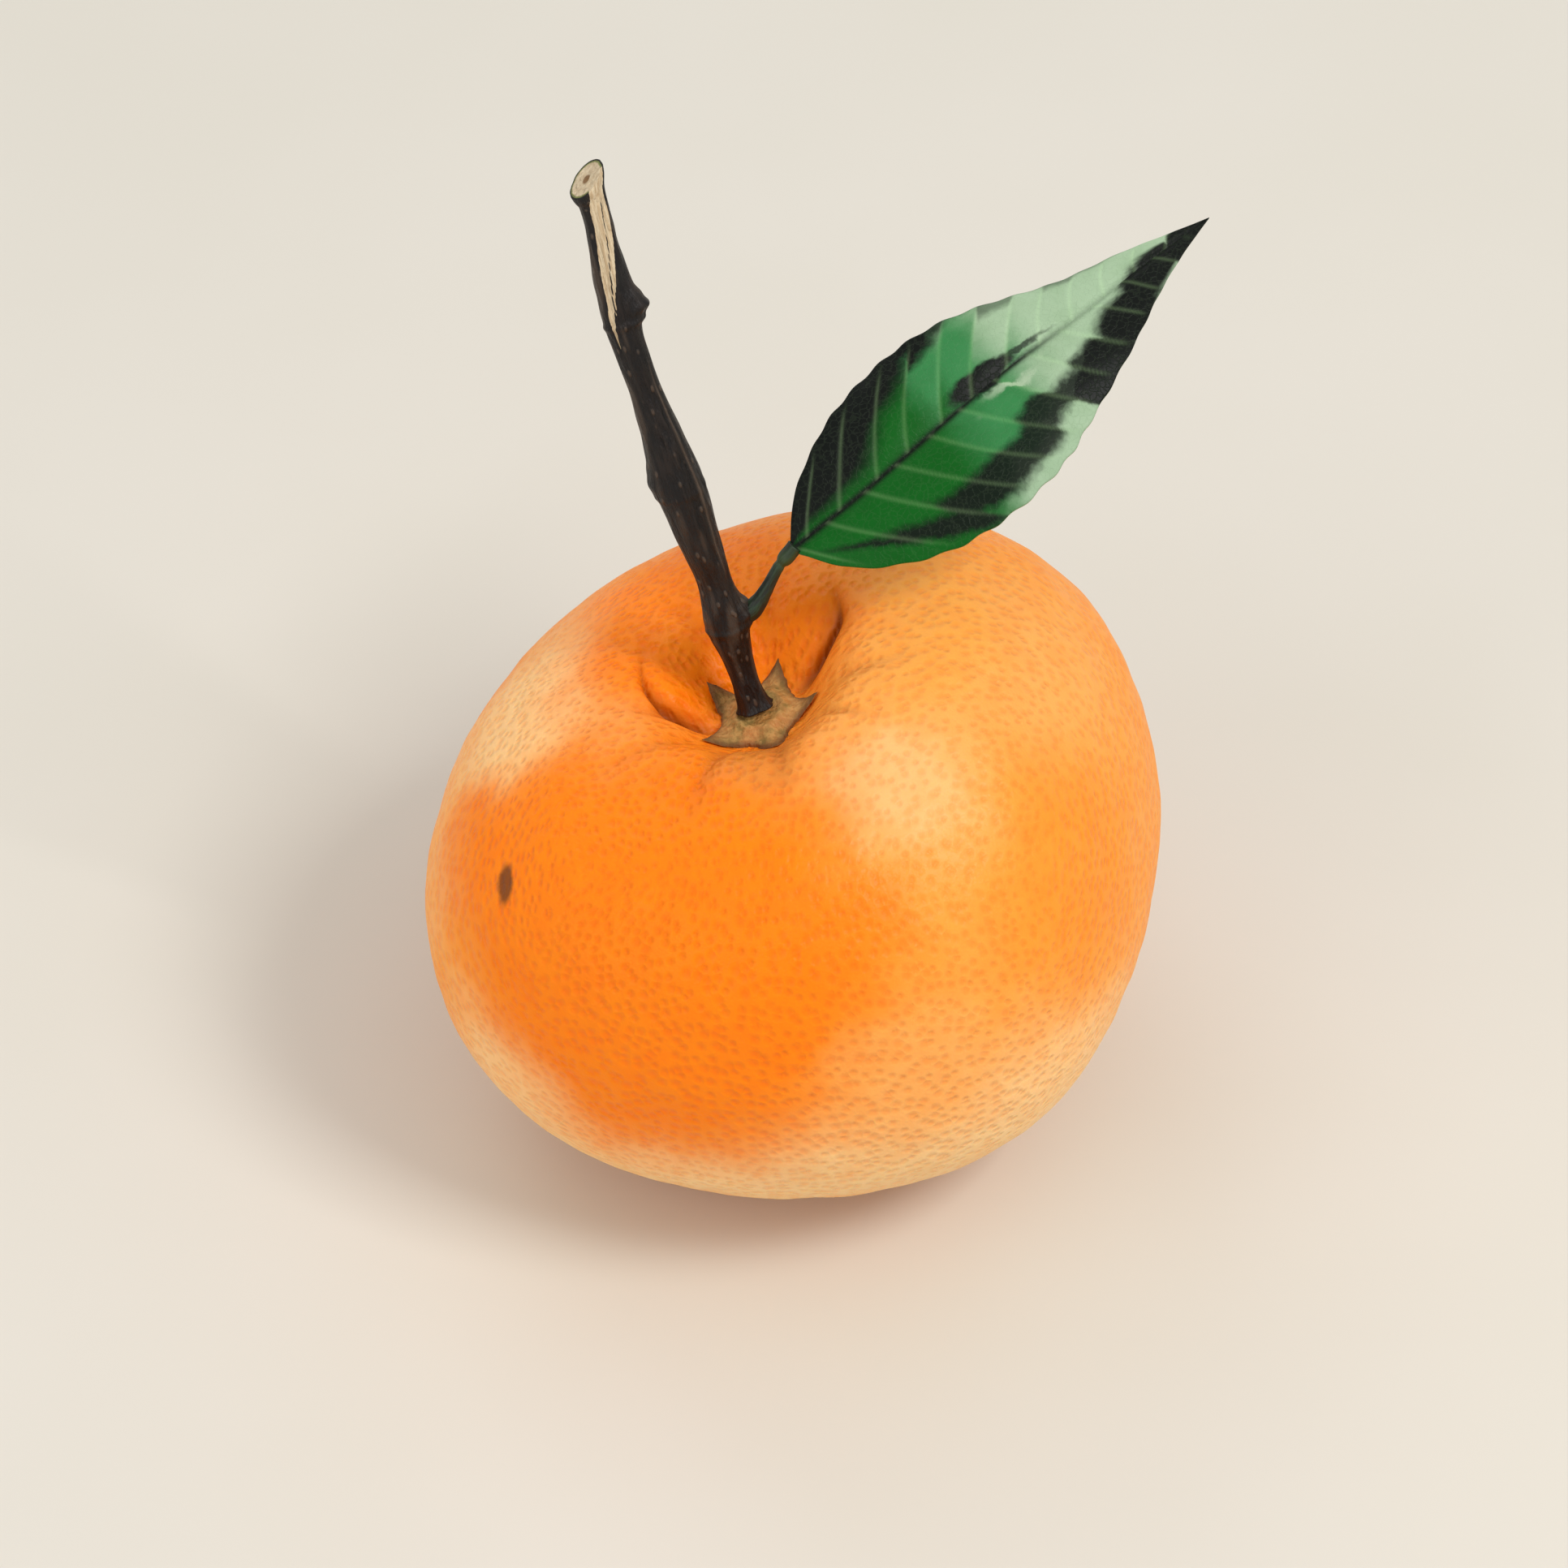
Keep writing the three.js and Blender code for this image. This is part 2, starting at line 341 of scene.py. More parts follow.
def sheet(steps: int, strips: int) -> bmesh.types.BMesh:
    """Makes a flat sheet of length 1, from -1 to 1 across and from -1 to 1 through its thickness.

    Args:
        steps: Number of steps along it.
        strips: Number of strips across it.

    Returns:
        The closed sheet, with its faces looking outwards.
    """
    skin = bmesh.new()
    bmesh.ops.create_grid(skin, x_segments=steps, y_segments=strips, size=1)
    bmesh.ops.scale(skin, vec=(0.5, 1, 1), verts=skin.verts)
    bmesh.ops.translate(skin, vec=(0.5, 0, 0), verts=skin.verts)
    bmesh.ops.solidify(skin, geom=skin.faces[:], thickness=2)
    middle = sum(vert.co.z for vert in skin.verts) / len(skin.verts)
    bmesh.ops.translate(skin, vec=(0, 0, -middle), verts=skin.verts)
    bmesh.ops.recalc_face_normals(skin, faces=skin.faces)
    return skin


def layers(skin: bmesh.types.BMesh, *marks: Mark) -> dict[Mark, bmesh.types.BMLayerItem]:
    """Adds a layer of numbers to a mesh for each mark."""
    return {mark: skin.verts.layers.float.new(mark.value) for mark in marks}


# ---------------- node trees


class Sum(Enum):
    """The sums that the materials use, by the names of Blender's Math node."""

    ADD = "ADD"
    LESS = "SUBTRACT"
    TIMES = "MULTIPLY"
    OVER = "DIVIDE"
    POWER = "POWER"
    TURN = "ARCTAN2"
    LARGER = "MAXIMUM"
    SIZE = "ABSOLUTE"


class Blend(Enum):
    """The ways that one colour is laid over another, by the names of Blender's Mix node."""

    COVER = "MIX"
    TINT = "MULTIPLY"
    GLOW = "ADD"


class Cell(Enum):
    """What is measured in a pattern of cells, by the names of Blender's Voronoi Texture node."""

    MIDDLE = "F1"
    EDGE = "DISTANCE_TO_EDGE"


class Tree:
    """The node tree of one material, with a short method for each kind of node in it."""

    FIRST_COLOUR = 6  # the Mix node's own sockets for colours, after those for other kinds
    SECOND_COLOUR = 7
    MIXED_COLOUR = 2

    def __init__(self, name: str) -> None:
        """Starts a material that has only its shader.

        Args:
            name: Name of the material.
        """
        self.material = bpy.data.materials.new(name)
        self.material.use_nodes = True
        self.tree = self.material.node_tree
        self.tree.nodes.clear()
        self.shader = self.node("BsdfPrincipled")
        output = self.node("OutputMaterial")
        self.put(output.inputs["Surface"], self.shader.outputs["BSDF"])

    def put(self, socket: Socket, value: Value) -> None:
        """Gives an input its value, or links it to another node's output.

        Args:
            socket: The input.
            value: A number, a colour, a vector or an output.
        """
        if isinstance(value, Socket):
            self.tree.links.new(value, socket)
        else:
            socket.default_value = value

    def fill(self, node: bpy.types.ShaderNode, **values: Value) -> None:
        """Gives a node a value or an output for each input, named with _ for a space."""
        for name, value in values.items():
            self.put(node.inputs[name.replace("_", " ")], value)

    def node(self, kind: str, **values: Value) -> bpy.types.ShaderNode:
        """Adds a node.

        Args:
            kind: Blender's name for the kind of node, without the ShaderNode that it starts with.
            **values: A value or an output for each input, named with _ for a space.

        Returns:
            The node.
        """
        node = self.tree.nodes.new("ShaderNode" + kind)
        self.fill(node, **values)
        return node

    def place(self) -> Socket:
        """Gives the point on the piece, in millimetres, from its Object coordinates."""
        found = self.node("TexCoord").outputs["Object"]
        return self.moved(found, scale=(1 / MM,) * 3)

    def attribute(self, name: str) -> bpy.types.ShaderNode:
        """Reads an attribute of the piece's own mesh.

        Args:
            name: Name of the attribute.

        Returns:
            The node, with an output for each kind of attribute.
        """
        node = self.node("Attribute")
        node.attribute_name = name
        return node

    def plain(self) -> Socket:
        """Gives the point's place in the even or straight form of the piece."""
        return self.attribute(PLAIN).outputs["Vector"]

    def mark(self, mark: Mark) -> Socket:
        """Gives the number that the mesh holds for the point."""
        return self.attribute(mark.value).outputs["Fac"]

    def moved(self, vector: Socket, scale: Triple = (1, 1, 1), shift: Triple = (0, 0, 0)) -> Socket:
        """Scales a vector and then shifts it."""
        return self.node("Mapping", Vector=vector, Scale=scale, Location=shift).outputs["Vector"]

    def drawn_out(self, vector: Socket, share: float) -> Socket:
        """Draws out a pattern along z, which then changes only a share as fast that way."""
        return self.moved(vector, (1, 1, share))

    def parts(self, vector: Socket) -> tuple[Socket, Socket, Socket]:
        """Splits a vector into its x, y and z."""
        found = self.node("SeparateXYZ", Vector=vector).outputs
        return found["X"], found["Y"], found["Z"]

    def length(self, vector: Socket) -> Socket:
        """Measures a vector.

        Args:
            vector: The vector.

        Returns:
            Its length.
        """
        node = self.node("VectorMath")
        node.operation = "LENGTH"
        self.put(node.inputs[0], vector)
        return node.outputs["Value"]

    def noise_node(
        self, vector: Socket, wavelength: float, detail: float, blotchy: float
    ) -> bpy.types.ShaderNode:
        """Adds noise with rises a wavelength apart and finer layers, as strong as blotchy says."""
        return self.node("TexNoise", Vector=vector, Scale=1 / wavelength, Detail=detail, Roughness=blotchy)

    def noise(self, vector: Socket, wavelength: float, detail: float = 2, blotchy: float = 0.5) -> Socket:
        """Makes smooth noise from 0 to 1, mostly near 0.5, from a noise node."""
        return self.noise_node(vector, wavelength, detail, blotchy).outputs["Fac"]

    def wander(self, vector: Socket, wavelength: float, reach: float) -> Socket:
        """Shifts points about, so that an edge drawn from them wanders.

        Args:
            vector: The points, in millimetres.
            wavelength: Distance between one bend and the next, in millimetres.
            reach: How far a point may move, in millimetres.

        Returns:
            The shifted points.
        """
        bends = self.noise_node(vector, wavelength, detail=3, blotchy=0.6).outputs["Color"]
        # the noise is mostly from 0.25 to 0.75, which becomes minus the reach to the reach
        offset = self.moved(bends, (4 * reach,) * 3, (-2 * reach,) * 3)
        node = self.node("VectorMath")
        node.operation = "ADD"
        self.put(node.inputs[0], vector)
        self.put(node.inputs[1], offset)
        return node.outputs["Vector"]

    def cells(self, vector: Socket, size: float, measured: Cell = Cell.MIDDLE) -> Socket:
        """Measures how far a point is from the middle or the edge of the cell it is in.

        Args:
            vector: The point, in millimetres.
            size: Size of a cell, in millimetres.
            measured: What the distance is measured from.

        Returns:
            The distance, as a share of the size.
        """
        node = self.node("TexVoronoi", Vector=vector, Scale=1 / size)
        node.feature = measured.value
        return node.outputs["Distance"]

    def flat_cells(self, vector: Socket, size: float, scatter: float) -> tuple[Socket, Socket]:
        """Measures how far a point is from the middle of the flat cell it is in.

        Args:
            vector: The point, in millimetres, of which only x and y count.
            size: Size of a cell, in millimetres.
            scatter: How uneven the cells are, from 0 to 1.

        Returns:
            The distance, as a share of the size, and a number by chance for the whole cell.
        """
        node = self.node("TexVoronoi", Vector=vector, Scale=1 / size, Randomness=scatter)
        node.voronoi_dimensions = "2D"
        return node.outputs["Distance"], self.parts(node.outputs["Color"])[0]

    def joined(self, across: Number, up: Number, out: Number = 0.0) -> Socket:
        """Joins an x, a y and a z into a vector."""
        return self.node("CombineXYZ", X=across, Y=up, Z=out).outputs["Vector"]

    def sum(self, kind: Sum, first: Number, second: Number = 0.0, clamp: bool = False) -> Socket:
        """Works out one sum.

        Args:
            kind: The sum.
            first: Its first number.
            second: Its second number.
            clamp: Whether the result is kept between 0 and 1.

        Returns:
            The result.
        """
        node = self.node("Math")
        node.operation = kind.value
        node.use_clamp = clamp
        self.put(node.inputs[0], first)
        self.put(node.inputs[1], second)
        return node.outputs["Value"]

    def plus(self, first: Number, second: Number) -> Socket:
        """Adds two numbers."""
        return self.sum(Sum.ADD, first, second)

    def times(self, first: Number, second: Number, clamp: bool = False) -> Socket:
        """Multiplies two numbers, and keeps the result between 0 and 1 where that is asked for."""
        return self.sum(Sum.TIMES, first, second, clamp)

    def larger(self, first: Number, second: Number) -> Socket:
        """Gives the larger of two numbers."""
        return self.sum(Sum.LARGER, first, second)

    def span(self, value: Number, low: float, high: float, start: float = 0, end: float = 1) -> Socket:
        """Carries a value smoothly from one span to another, and stops at its ends.

        Args:
            value: The value.
            low: Where the first span begins.
            high: Where it ends.
            start: The result at low.
            end: The result at high.

        Returns:
            The result.
        """
        node = self.node("MapRange", Value=value, From_Min=low, From_Max=high, To_Min=start, To_Max=end)
        node.interpolation_type = "SMOOTHSTEP"
        return node.outputs["Result"]

    def mix(self, share: Number, first: Shade, second: Shade, blend: Blend = Blend.COVER) -> Socket:
        """Mixes two colours.

        Args:
            share: Share of the second colour, from 0 to 1.
            first: The first colour.
            second: The second colour.
            blend: How the second is laid over the first.

        Returns:
            The mixed colour.
        """
        node = self.node("Mix")
        node.data_type = "RGBA"
        node.blend_type = blend.value
        self.put(node.inputs["Factor"], share)
        self.put(node.inputs[self.FIRST_COLOUR], first)
        self.put(node.inputs[self.SECOND_COLOUR], second)
        return node.outputs[self.MIXED_COLOUR]

    def bump(self, height: Socket, depth: float) -> Socket:
        """Raises the surface where a height from 0 to 1 is large, by up to a depth in millimetres."""
        node = self.node("Bump", Strength=1, Distance=depth * MM, Height=height)
        return node.outputs["Normal"]

    def give(self, **values: Value) -> bpy.types.Material:
        """Gives the shader its inputs, named with _ for a space, and hands the material over."""
        self.fill(self.shader, **values)
        return self.material


# ---------------- finishes


@dataclass(frozen=True)
class Patch:
    """A soft patch of colour on the peel, as a ball that the surface passes through."""

    centre: Triple
    reach: float
    colour: Colour
    amount: float = 1.0
    soft: float = 0.55  # share of the reach over which the patch fades out

    def share(self, tree: Tree, place: Socket) -> Socket:
        """Finds how strong the patch is at a point.

        Args:
            tree: The material's tree.
            place: The point on the peel.

        Returns:
            A share from 0 to 1.
        """
        away = tree.length(tree.moved(place, shift=tuple(-part for part in self.centre)))
        inner = self.reach * (1 - self.soft)
        outer = self.reach * (1 + FADE_PAST * self.soft)
        return tree.span(away, inner, outer, self.amount, 0)


DEEP_ORANGE = srgb(255, 133, 0)
WARM_ORANGE = srgb(255, 154, 44)
PAINTED_HIGHLIGHT_PEACH = srgb(253, 190, 120)
SOFT_PEACH = srgb(253, 180, 100)
CREAM_PEACH = srgb(255, 212, 150)


@dataclass(frozen=True)
class PeelFinish:
    """Waxy mandarin peel: soft patches of orange and peach, a few of them painted light, painted shade in
    its folds, and oil glands all over.
    """

    ground: Colour = srgb(255, 164, 64)
    sole: Colour = srgb(255, 178, 84)
    gland: Colour = srgb(255, 206, 150)  # laid over the colour below it
    # painted shade: the darker brown-orange laid in the pleats and in the hollow by the basin
    crease: Colour = srgb(142, 60, 5)
    scar: Colour = srgb(96, 52, 18)
    edge_wander: Pair = (11, 2.6)  # length of a bend in a patch's edge, and how far it reaches
    belly_slope: Pair = (-0.12, 0.35)  # how much lower the cream belly, partly painted light, ends to the right and behind
    belly_heights: Pair = (3, 20)  # heights over which the cream of the belly fades out
    sole_heights: Pair = (3, 13)  # the same for the colour round the flat spot
    mottle_size: float = 2.6
    mottle_strength: float = 0.22
    shine_size: float = 5.0
    roughness: Pair = (0.4, 0.5)
    gland_size: float = 1.05
    gland_scatter: float = 0.9  # how unevenly the glands are spread, from 0 to 1
    gland_radii: Pair = (0.42, 0.3)  # a gland's least radius, and what chance may add to it
    gland_dot: Pair = (0.25, 0.75)  # shares of the radius over which its colour fades out
    gland_strength: float = 0.3
    grain_size: float = 0.4
    grain_span: Pair = (0.1, 0.6)
    grain_height: float = 0.15  # as a share of a gland's
    bump_depth: float = 0.14
    crease_shade_strength: float = 0.8
    middle: Triple = (2.5, 0.5, 24)  # of the box that carries the glands
    mean_radius: float = 31.0  # of the peel round that middle
    face_shift: float = 31.0  # sets the gland pattern of one face of the box apart from the next
    face_blend: float = 12.0  # how quickly one face's pattern gives way to the next one's
    rub_at: Triple = (-23.8, -17.1, 40.1)
    rub_reach: Triple = (0.85, 2.1, 2.9)
    rub_wander: Pair = (1.3, 0.16)
    rub_edge: Pair = (0.55, 1.1)  # shares of its reach over which it fades out
    rub_strength: float = 0.85
    patches: tuple[Patch, ...] = (
        Patch((-22, 4, 44), 17, CREAM_PEACH, 0.8, 0.8),
        # painted highlight: pale peach where the key light's own highlight also falls
        Patch((12, -17, 53), 12, SOFT_PEACH, 0.7),
        Patch((11, -17, 53), 7.5, PAINTED_HIGHLIGHT_PEACH),
        # cream low on the side: paler peel, and painted light that lifts the shade underneath
        Patch((26, -28, 20), 16, CREAM_PEACH, 0.6, 0.8),
        Patch((29, -17, 42), 14, WARM_ORANGE),
        Patch((23, -1, 52), 14, SOFT_PEACH, 0.6, 0.8),
        # painted light that lifts the leaf's shadow on the peel right of the stem
        Patch((12, 2, 55), 11, srgb(255, 172, 76)),
        Patch((9, 30, 34), 27, WARM_ORANGE),
        Patch((-24, 18, 24), 20, WARM_ORANGE),
        Patch((-6, 9, 51), 18, DEEP_ORANGE),
        Patch((-9, -23, 38), 24, DEEP_ORANGE, 1, 0.4),
        Patch((4.5, -29, 45), 10, DEEP_ORANGE, 0.8, 0.65),
        Patch((-20, -13, 43), 8.5, DEEP_ORANGE, 0.8, 0.6),
        Patch((-27, -11, 37), 9, DEEP_ORANGE),
        Patch((-32, -8, 31), 9, SOFT_PEACH, 0.6, 0.8),
        # cream low on the side: paler peel, and painted light that lifts the shade underneath
        Patch((-26, -24, 20), 10, CREAM_PEACH, 0.7, 0.8),
        Patch((15, -33, 32), 10, SOFT_PEACH, 0.7, 0.8),
        Patch((-1, -11, 52), 6, srgb(226, 138, 52), 0.7),
    )

    def material(self) -> bpy.types.Material:
        """Makes the material.

        Returns:
            The peel's material.
        """
        tree = Tree("peel")
        place = tree.place()
        wandering = tree.wander(place, *self.edge_wander)
        across, deep, high = tree.parts(wandering)
        right, behind = self.belly_slope
        slope = tree.plus(tree.times(across, right), tree.times(deep, behind))
        # paler towards the bottom: the peel's paler underside, and painted light that lifts the shade
        # underneath
        belly = tree.span(tree.plus(high, slope), *self.belly_heights, 1, 0)
        colour = tree.mix(belly, self.ground, CREAM_PEACH)
        colour = tree.mix(tree.span(high, *self.sole_heights, 1, 0), colour, self.sole)
        for patch in self.patches:
            colour = tree.mix(patch.share(tree, wandering), colour, patch.colour)
        mottle = tree.span(tree.noise(place, self.mottle_size, 3), *SOFT_NOISE)
        mottle = tree.times(mottle, self.mottle_strength)
        colour = tree.mix(mottle, colour, self.gland, Blend.TINT)

        glands = self.glands(tree, place)
        dots = tree.span(glands, *self.gland_dot, 1, 0)
        dots = tree.times(dots, self.gland_strength)
        colour = tree.mix(dots, colour, self.gland, Blend.TINT)
        pits = tree.span(glands, 0.0, 1.0)
        grain = tree.span(tree.cells(place, self.grain_size), *self.grain_span)
        # painted shade in the pleats round the basin and in the hollow at its right
        crease_shade = tree.times(tree.mark(Mark.PAINTED_CREASE_SHADE), self.crease_shade_strength, clamp=True)
        colour = tree.mix(crease_shade, colour, self.crease)
        colour = tree.mix(self.scars(tree, place), colour, self.scar)

        height = tree.plus(pits, tree.times(grain, self.grain_height))
        shine = tree.noise(place, self.shine_size)
        return tree.give(
            Base_Color=colour,
            Roughness=tree.span(shine, *SOFT_NOISE, *self.roughness),
            Normal=tree.bump(height, self.bump_depth),
            Specular_IOR_Level=0.18,
            Subsurface_Weight=0.1,
            Subsurface_Radius=(1.0, 0.35, 0.08),
            Subsurface_Scale=1.2 * MM,
        )

    def glands(self, tree: Tree, place: Socket) -> Socket:
        """Spreads the oil glands evenly over the peel, as seen from the fruit's middle.

        Six faces of a box round the fruit each carry a flat pattern, in even angles so that it isn't
        stretched, and the patterns fade into each other along the box's edges.

        Args:
            tree: The material's tree.
            place: The point on the peel.

        Returns:
            Distance from the middle of the gland, from 0 to about 1.
        """
        shifted = tree.moved(place, shift=tuple(-part for part in self.middle))
        axes = [tree.sum(Sum.SIZE, part) for part in tree.parts(shifted)]
        signed = tree.parts(shifted)
        reach = tree.length(shifted)
        least, spare = self.gland_radii
        total: Number = 0.0
        weights: Number = 0.0
        for index, sides in enumerate(((1, 2), (0, 2), (0, 1))):
            ahead = axes[index]
            across, up = (
                tree.times(tree.sum(Sum.TURN, signed[side], ahead), self.mean_radius)
                for side in sides
            )
            flat = tree.joined(across, up, self.face_shift * index)
            distance, chance = tree.flat_cells(flat, self.gland_size, self.gland_scatter)
            radius = tree.plus(tree.times(chance, spare), least)
            gland = tree.sum(Sum.OVER, distance, radius)
            weight = tree.sum(Sum.POWER, tree.sum(Sum.OVER, ahead, reach), self.face_blend)
            total = tree.plus(total, tree.times(gland, weight))
            weights = tree.plus(weights, weight)
        return tree.sum(Sum.OVER, total, weights)

    def scars(self, tree: Tree, place: Socket) -> Socket:
        """Finds the brown scars: one healed rub on the left and the dry spot underneath.

        Args:
            tree: The material's tree.
            place: The point on the peel.

        Returns:
            How brown the point is, from 0 to 1.
        """
        edge = tree.wander(place, *self.rub_wander)
        scale = tuple(1 / size for size in self.rub_reach)
        shift = tuple(-middle / size for middle, size in zip(self.rub_at, self.rub_reach))
        away = tree.length(tree.moved(edge, scale, shift))
        rubbed = tree.span(away, *self.rub_edge, self.rub_strength, 0)
        return tree.larger(rubbed, tree.mark(Mark.SCAR))


@dataclass(frozen=True)
class CalyxFinish:
    """The dry star round the stem: tan, with an olive middle and darker, thin edges."""

    tan: Colour = srgb(178, 122, 58)
    olive: Colour = srgb(128, 106, 48)
    edge: Colour = srgb(98, 62, 26)
    fibre: Colour = srgb(214, 166, 96)
    fibre_size: float = 0.55
    fibre_drawn: float = 0.2  # how fast a fibre changes along itself, as a share
    fibre_strength: float = 0.45
    blotch_size: float = 1.8
    edge_from: Pair = (0.72, 1.0)  # shares of the way to the rim over which it darkens
    edge_strength: float = 0.85
    grain_size: float = 0.3
    roughness: Pair = (0.62, 0.78)
    bump_depth: float = 0.07

    def material(self) -> bpy.types.Material:
        """Makes the material.

        Returns:
            The calyx's material.
        """
        tree = Tree("calyx")
        plain = tree.plain()
        place = tree.place()
        rim = tree.mark(Mark.RIM)
        fibres = tree.noise(tree.drawn_out(plain, self.fibre_drawn), self.fibre_size, 3)
        fibres = tree.span(fibres, *CLEAR_NOISE)
        blotch = tree.span(tree.noise(place, self.blotch_size, 3), *CLEAR_NOISE)
        colour = tree.mix(blotch, self.tan, self.olive)
        colour = tree.mix(tree.times(fibres, self.fibre_strength), colour, self.fibre)
        edge = tree.span(rim, *self.edge_from, 0, self.edge_strength)
        colour = tree.mix(edge, colour, self.edge)
        height = tree.plus(fibres, tree.noise(place, self.grain_size))
        return tree.give(
            Base_Color=colour,
            Roughness=tree.span(blotch, 0, 1, *self.roughness),
            Normal=tree.bump(height, self.bump_depth),
        )


@dataclass(frozen=True)
class BarkFinish:
    """Near-black bark with fine ridges, and pale wood where it is torn or cut."""

    dark: Colour = srgb(10, 7, 8)
    brown: Colour = srgb(32, 24, 20)
    worn: Colour = srgb(92, 76, 63)
    wood: Colour = srgb(222, 204, 172)
    fibre: Colour = srgb(168, 132, 88)
    green: Colour = srgb(122, 128, 70)
    pith: Colour = srgb(132, 98, 60)
    ridge_size: float = 0.5
    ridge_drawn: float = 0.16  # how fast a ridge changes along the twig, as a share
    ridge_span: Pair = (0.32, 0.68)
    patch_size: float = 2.4
    patch_drawn: float = 0.4
    patch_span: Pair = (0.4, 0.7)
    patch_strength: float = 0.35
    pore_gap: float = 0.95
    pore_drawn: float = 0.55
    pore_edge: Pair = (0.1, 0.24)  # shares of the gap over which a pore ends
    pore_strength: float = 0.6
    pore_height: float = 0.5  # as a share of a ridge's
    worn_strength: float = 0.8
    grain_size: float = 0.22
    grain_drawn: float = 0.06
    grain_strength: float = 0.55
    tear_ragged: float = 0.16
    tear_edge: Pair = (0.42, 0.58)  # how bare the twig is where the bark gives way to wood
    whole_to: Pair = (0.4, 0.6)  # how bare it is where the cut end loses its rim of bark
    ring_size: float = 0.35
    ring_strength: float = 0.4
    green_from: Pair = (0.8, 0.88)  # shares of the cut end's radius, as the next three are
    rim_from: Pair = (0.9, 0.95)
    pith_to: Pair = (0.16, 0.28)
    cut_to: Pair = (1.0, 1.15)
    bare_span: Pair = (0.3, 0.7)
    roughness: Pair = (0.46, 0.8)  # of bark and of bare wood
    bump_depth: float = 0.16

    def material(self) -> bpy.types.Material:
        """Makes the material.

        Returns:
            The twig's material.
        """
        tree = Tree("bark")
        plain = tree.plain()
        ridges = tree.noise(tree.drawn_out(plain, self.ridge_drawn), self.ridge_size, 4, 0.6)
        ridges = tree.span(ridges, *self.ridge_span)
        patches = tree.noise(tree.drawn_out(plain, self.patch_drawn), self.patch_size)
        patches = tree.span(patches, *self.patch_span)
        pores = tree.cells(tree.drawn_out(plain, self.pore_drawn), self.pore_gap)
        pores = tree.span(pores, *self.pore_edge, 1, 0)
        colour = tree.mix(ridges, self.dark, self.brown)
        colour = tree.mix(tree.times(patches, self.patch_strength), colour, self.dark)
        worn = tree.times(tree.mark(Mark.RAISED), self.worn_strength, clamp=True)
        colour = tree.mix(worn, colour, self.worn)
        colour = tree.mix(tree.times(pores, self.pore_strength), colour, self.worn)

        grain = tree.noise(tree.drawn_out(plain, self.grain_drawn), self.grain_size, 3)
        grain = tree.span(grain, *CLEAR_NOISE)
        pale = tree.mix(tree.times(grain, self.grain_strength), self.wood, self.fibre)
        bare = tree.mark(Mark.BARE)
        frayed = tree.span(ridges, 0, 1, -self.tear_ragged, self.tear_ragged)
        torn = tree.span(tree.plus(bare, frayed), *self.tear_edge)
        colour = tree.mix(torn, colour, pale)
        cut = self.cut_end(tree, plain, bare, colour)

        height = tree.plus(ridges, tree.times(pores, self.pore_height))
        return tree.give(
            Base_Color=cut,
            Specular_IOR_Level=0.3,
            Roughness=tree.span(bare, *self.bare_span, *self.roughness),
            Normal=tree.bump(height, self.bump_depth),
        )

    def cut_end(self, tree: Tree, plain: Socket, bare: Socket, colour: Socket) -> Socket:
        """Colours the cut end: a green line under the bark, rings of wood, and the pith.

        Args:
            tree: The material's tree.
            plain: The point on the straight twig.
            bare: How bare of bark the point is.
            colour: Colour of the rest of the twig.

        Returns:
            The colour of the whole twig.
        """
        cut = tree.mark(Mark.CUT)
        rings = tree.span(tree.noise(plain, self.ring_size, 3), *SOFT_NOISE)
        face = tree.mix(tree.times(rings, self.ring_strength), self.wood, self.fibre)
        whole = tree.span(bare, *self.whole_to, 1, 0)
        for start, layer in ((self.green_from, self.green), (self.rim_from, self.dark)):
            face = tree.mix(tree.times(tree.span(cut, *start), whole), face, layer)
        face = tree.mix(tree.span(cut, *self.pith_to, 1, 0), face, self.pith)
        return tree.mix(tree.span(cut, *self.cut_to), face, colour)


@dataclass(frozen=True)
class StalkFinish:
    """The leaf's stalk: green-black in streaks, and lighter at its joint."""

    dark: Colour = srgb(10, 18, 9)
    green: Colour = srgb(24, 48, 20)
    joint: Colour = srgb(48, 68, 28)
    streak_size: float = 0.4
    streak_drawn: float = 0.2  # how fast a streak changes along the stalk, as a share
    bump_depth: float = 0.05

    def material(self) -> bpy.types.Material:
        """Makes the material.

        Returns:
            The stalk's material.
        """
        tree = Tree("leaf_stalk")
        streaks = tree.noise(tree.drawn_out(tree.plain(), self.streak_drawn), self.streak_size, 3)
        streaks = tree.span(streaks, *CLEAR_NOISE)
        colour = tree.mix(streaks, self.dark, self.green)
        colour = tree.mix(tree.mark(Mark.JOINT), colour, self.joint)
        return tree.give(
            Base_Color=colour, Roughness=0.5, Normal=tree.bump(streaks, self.bump_depth)
        )


LEAF_DEEP = srgb(0, 88, 16)
LEAF_MIDDLE = srgb(52, 126, 70)
LEAF_SAGE = srgb(158, 184, 152)
LEAF_PAINTED_HIGHLIGHT = srgb(196, 210, 184)
LEAF_DARK = srgb(2, 8, 4)


@dataclass(frozen=True)
class Wash:
    """A soft patch of colour on the blade, in shares of its length and of its half width."""

    centre: Pair
    spread: Pair
    amount: float = 1.0
    soft: float = 0.6  # share of the spread over which the wash fades out
    colour: Colour = LEAF_DARK

    def share(self, tree: Tree, blade: Socket) -> Socket:
        """Finds how strong the wash is at a point.

        Args:
            tree: The material's tree.
            blade: The point, as its share of the length and of the half width.

        Returns:
            A share from 0 to 1.
        """
        (middle, side), (length, width) = self.centre, self.spread
        away = tree.moved(blade, (1 / length, 1 / width, 0), (-middle / length, -side / width, 0))
        return tree.span(tree.length(away), 1 - self.soft, 1 + FADE_PAST * self.soft, self.amount, 0)


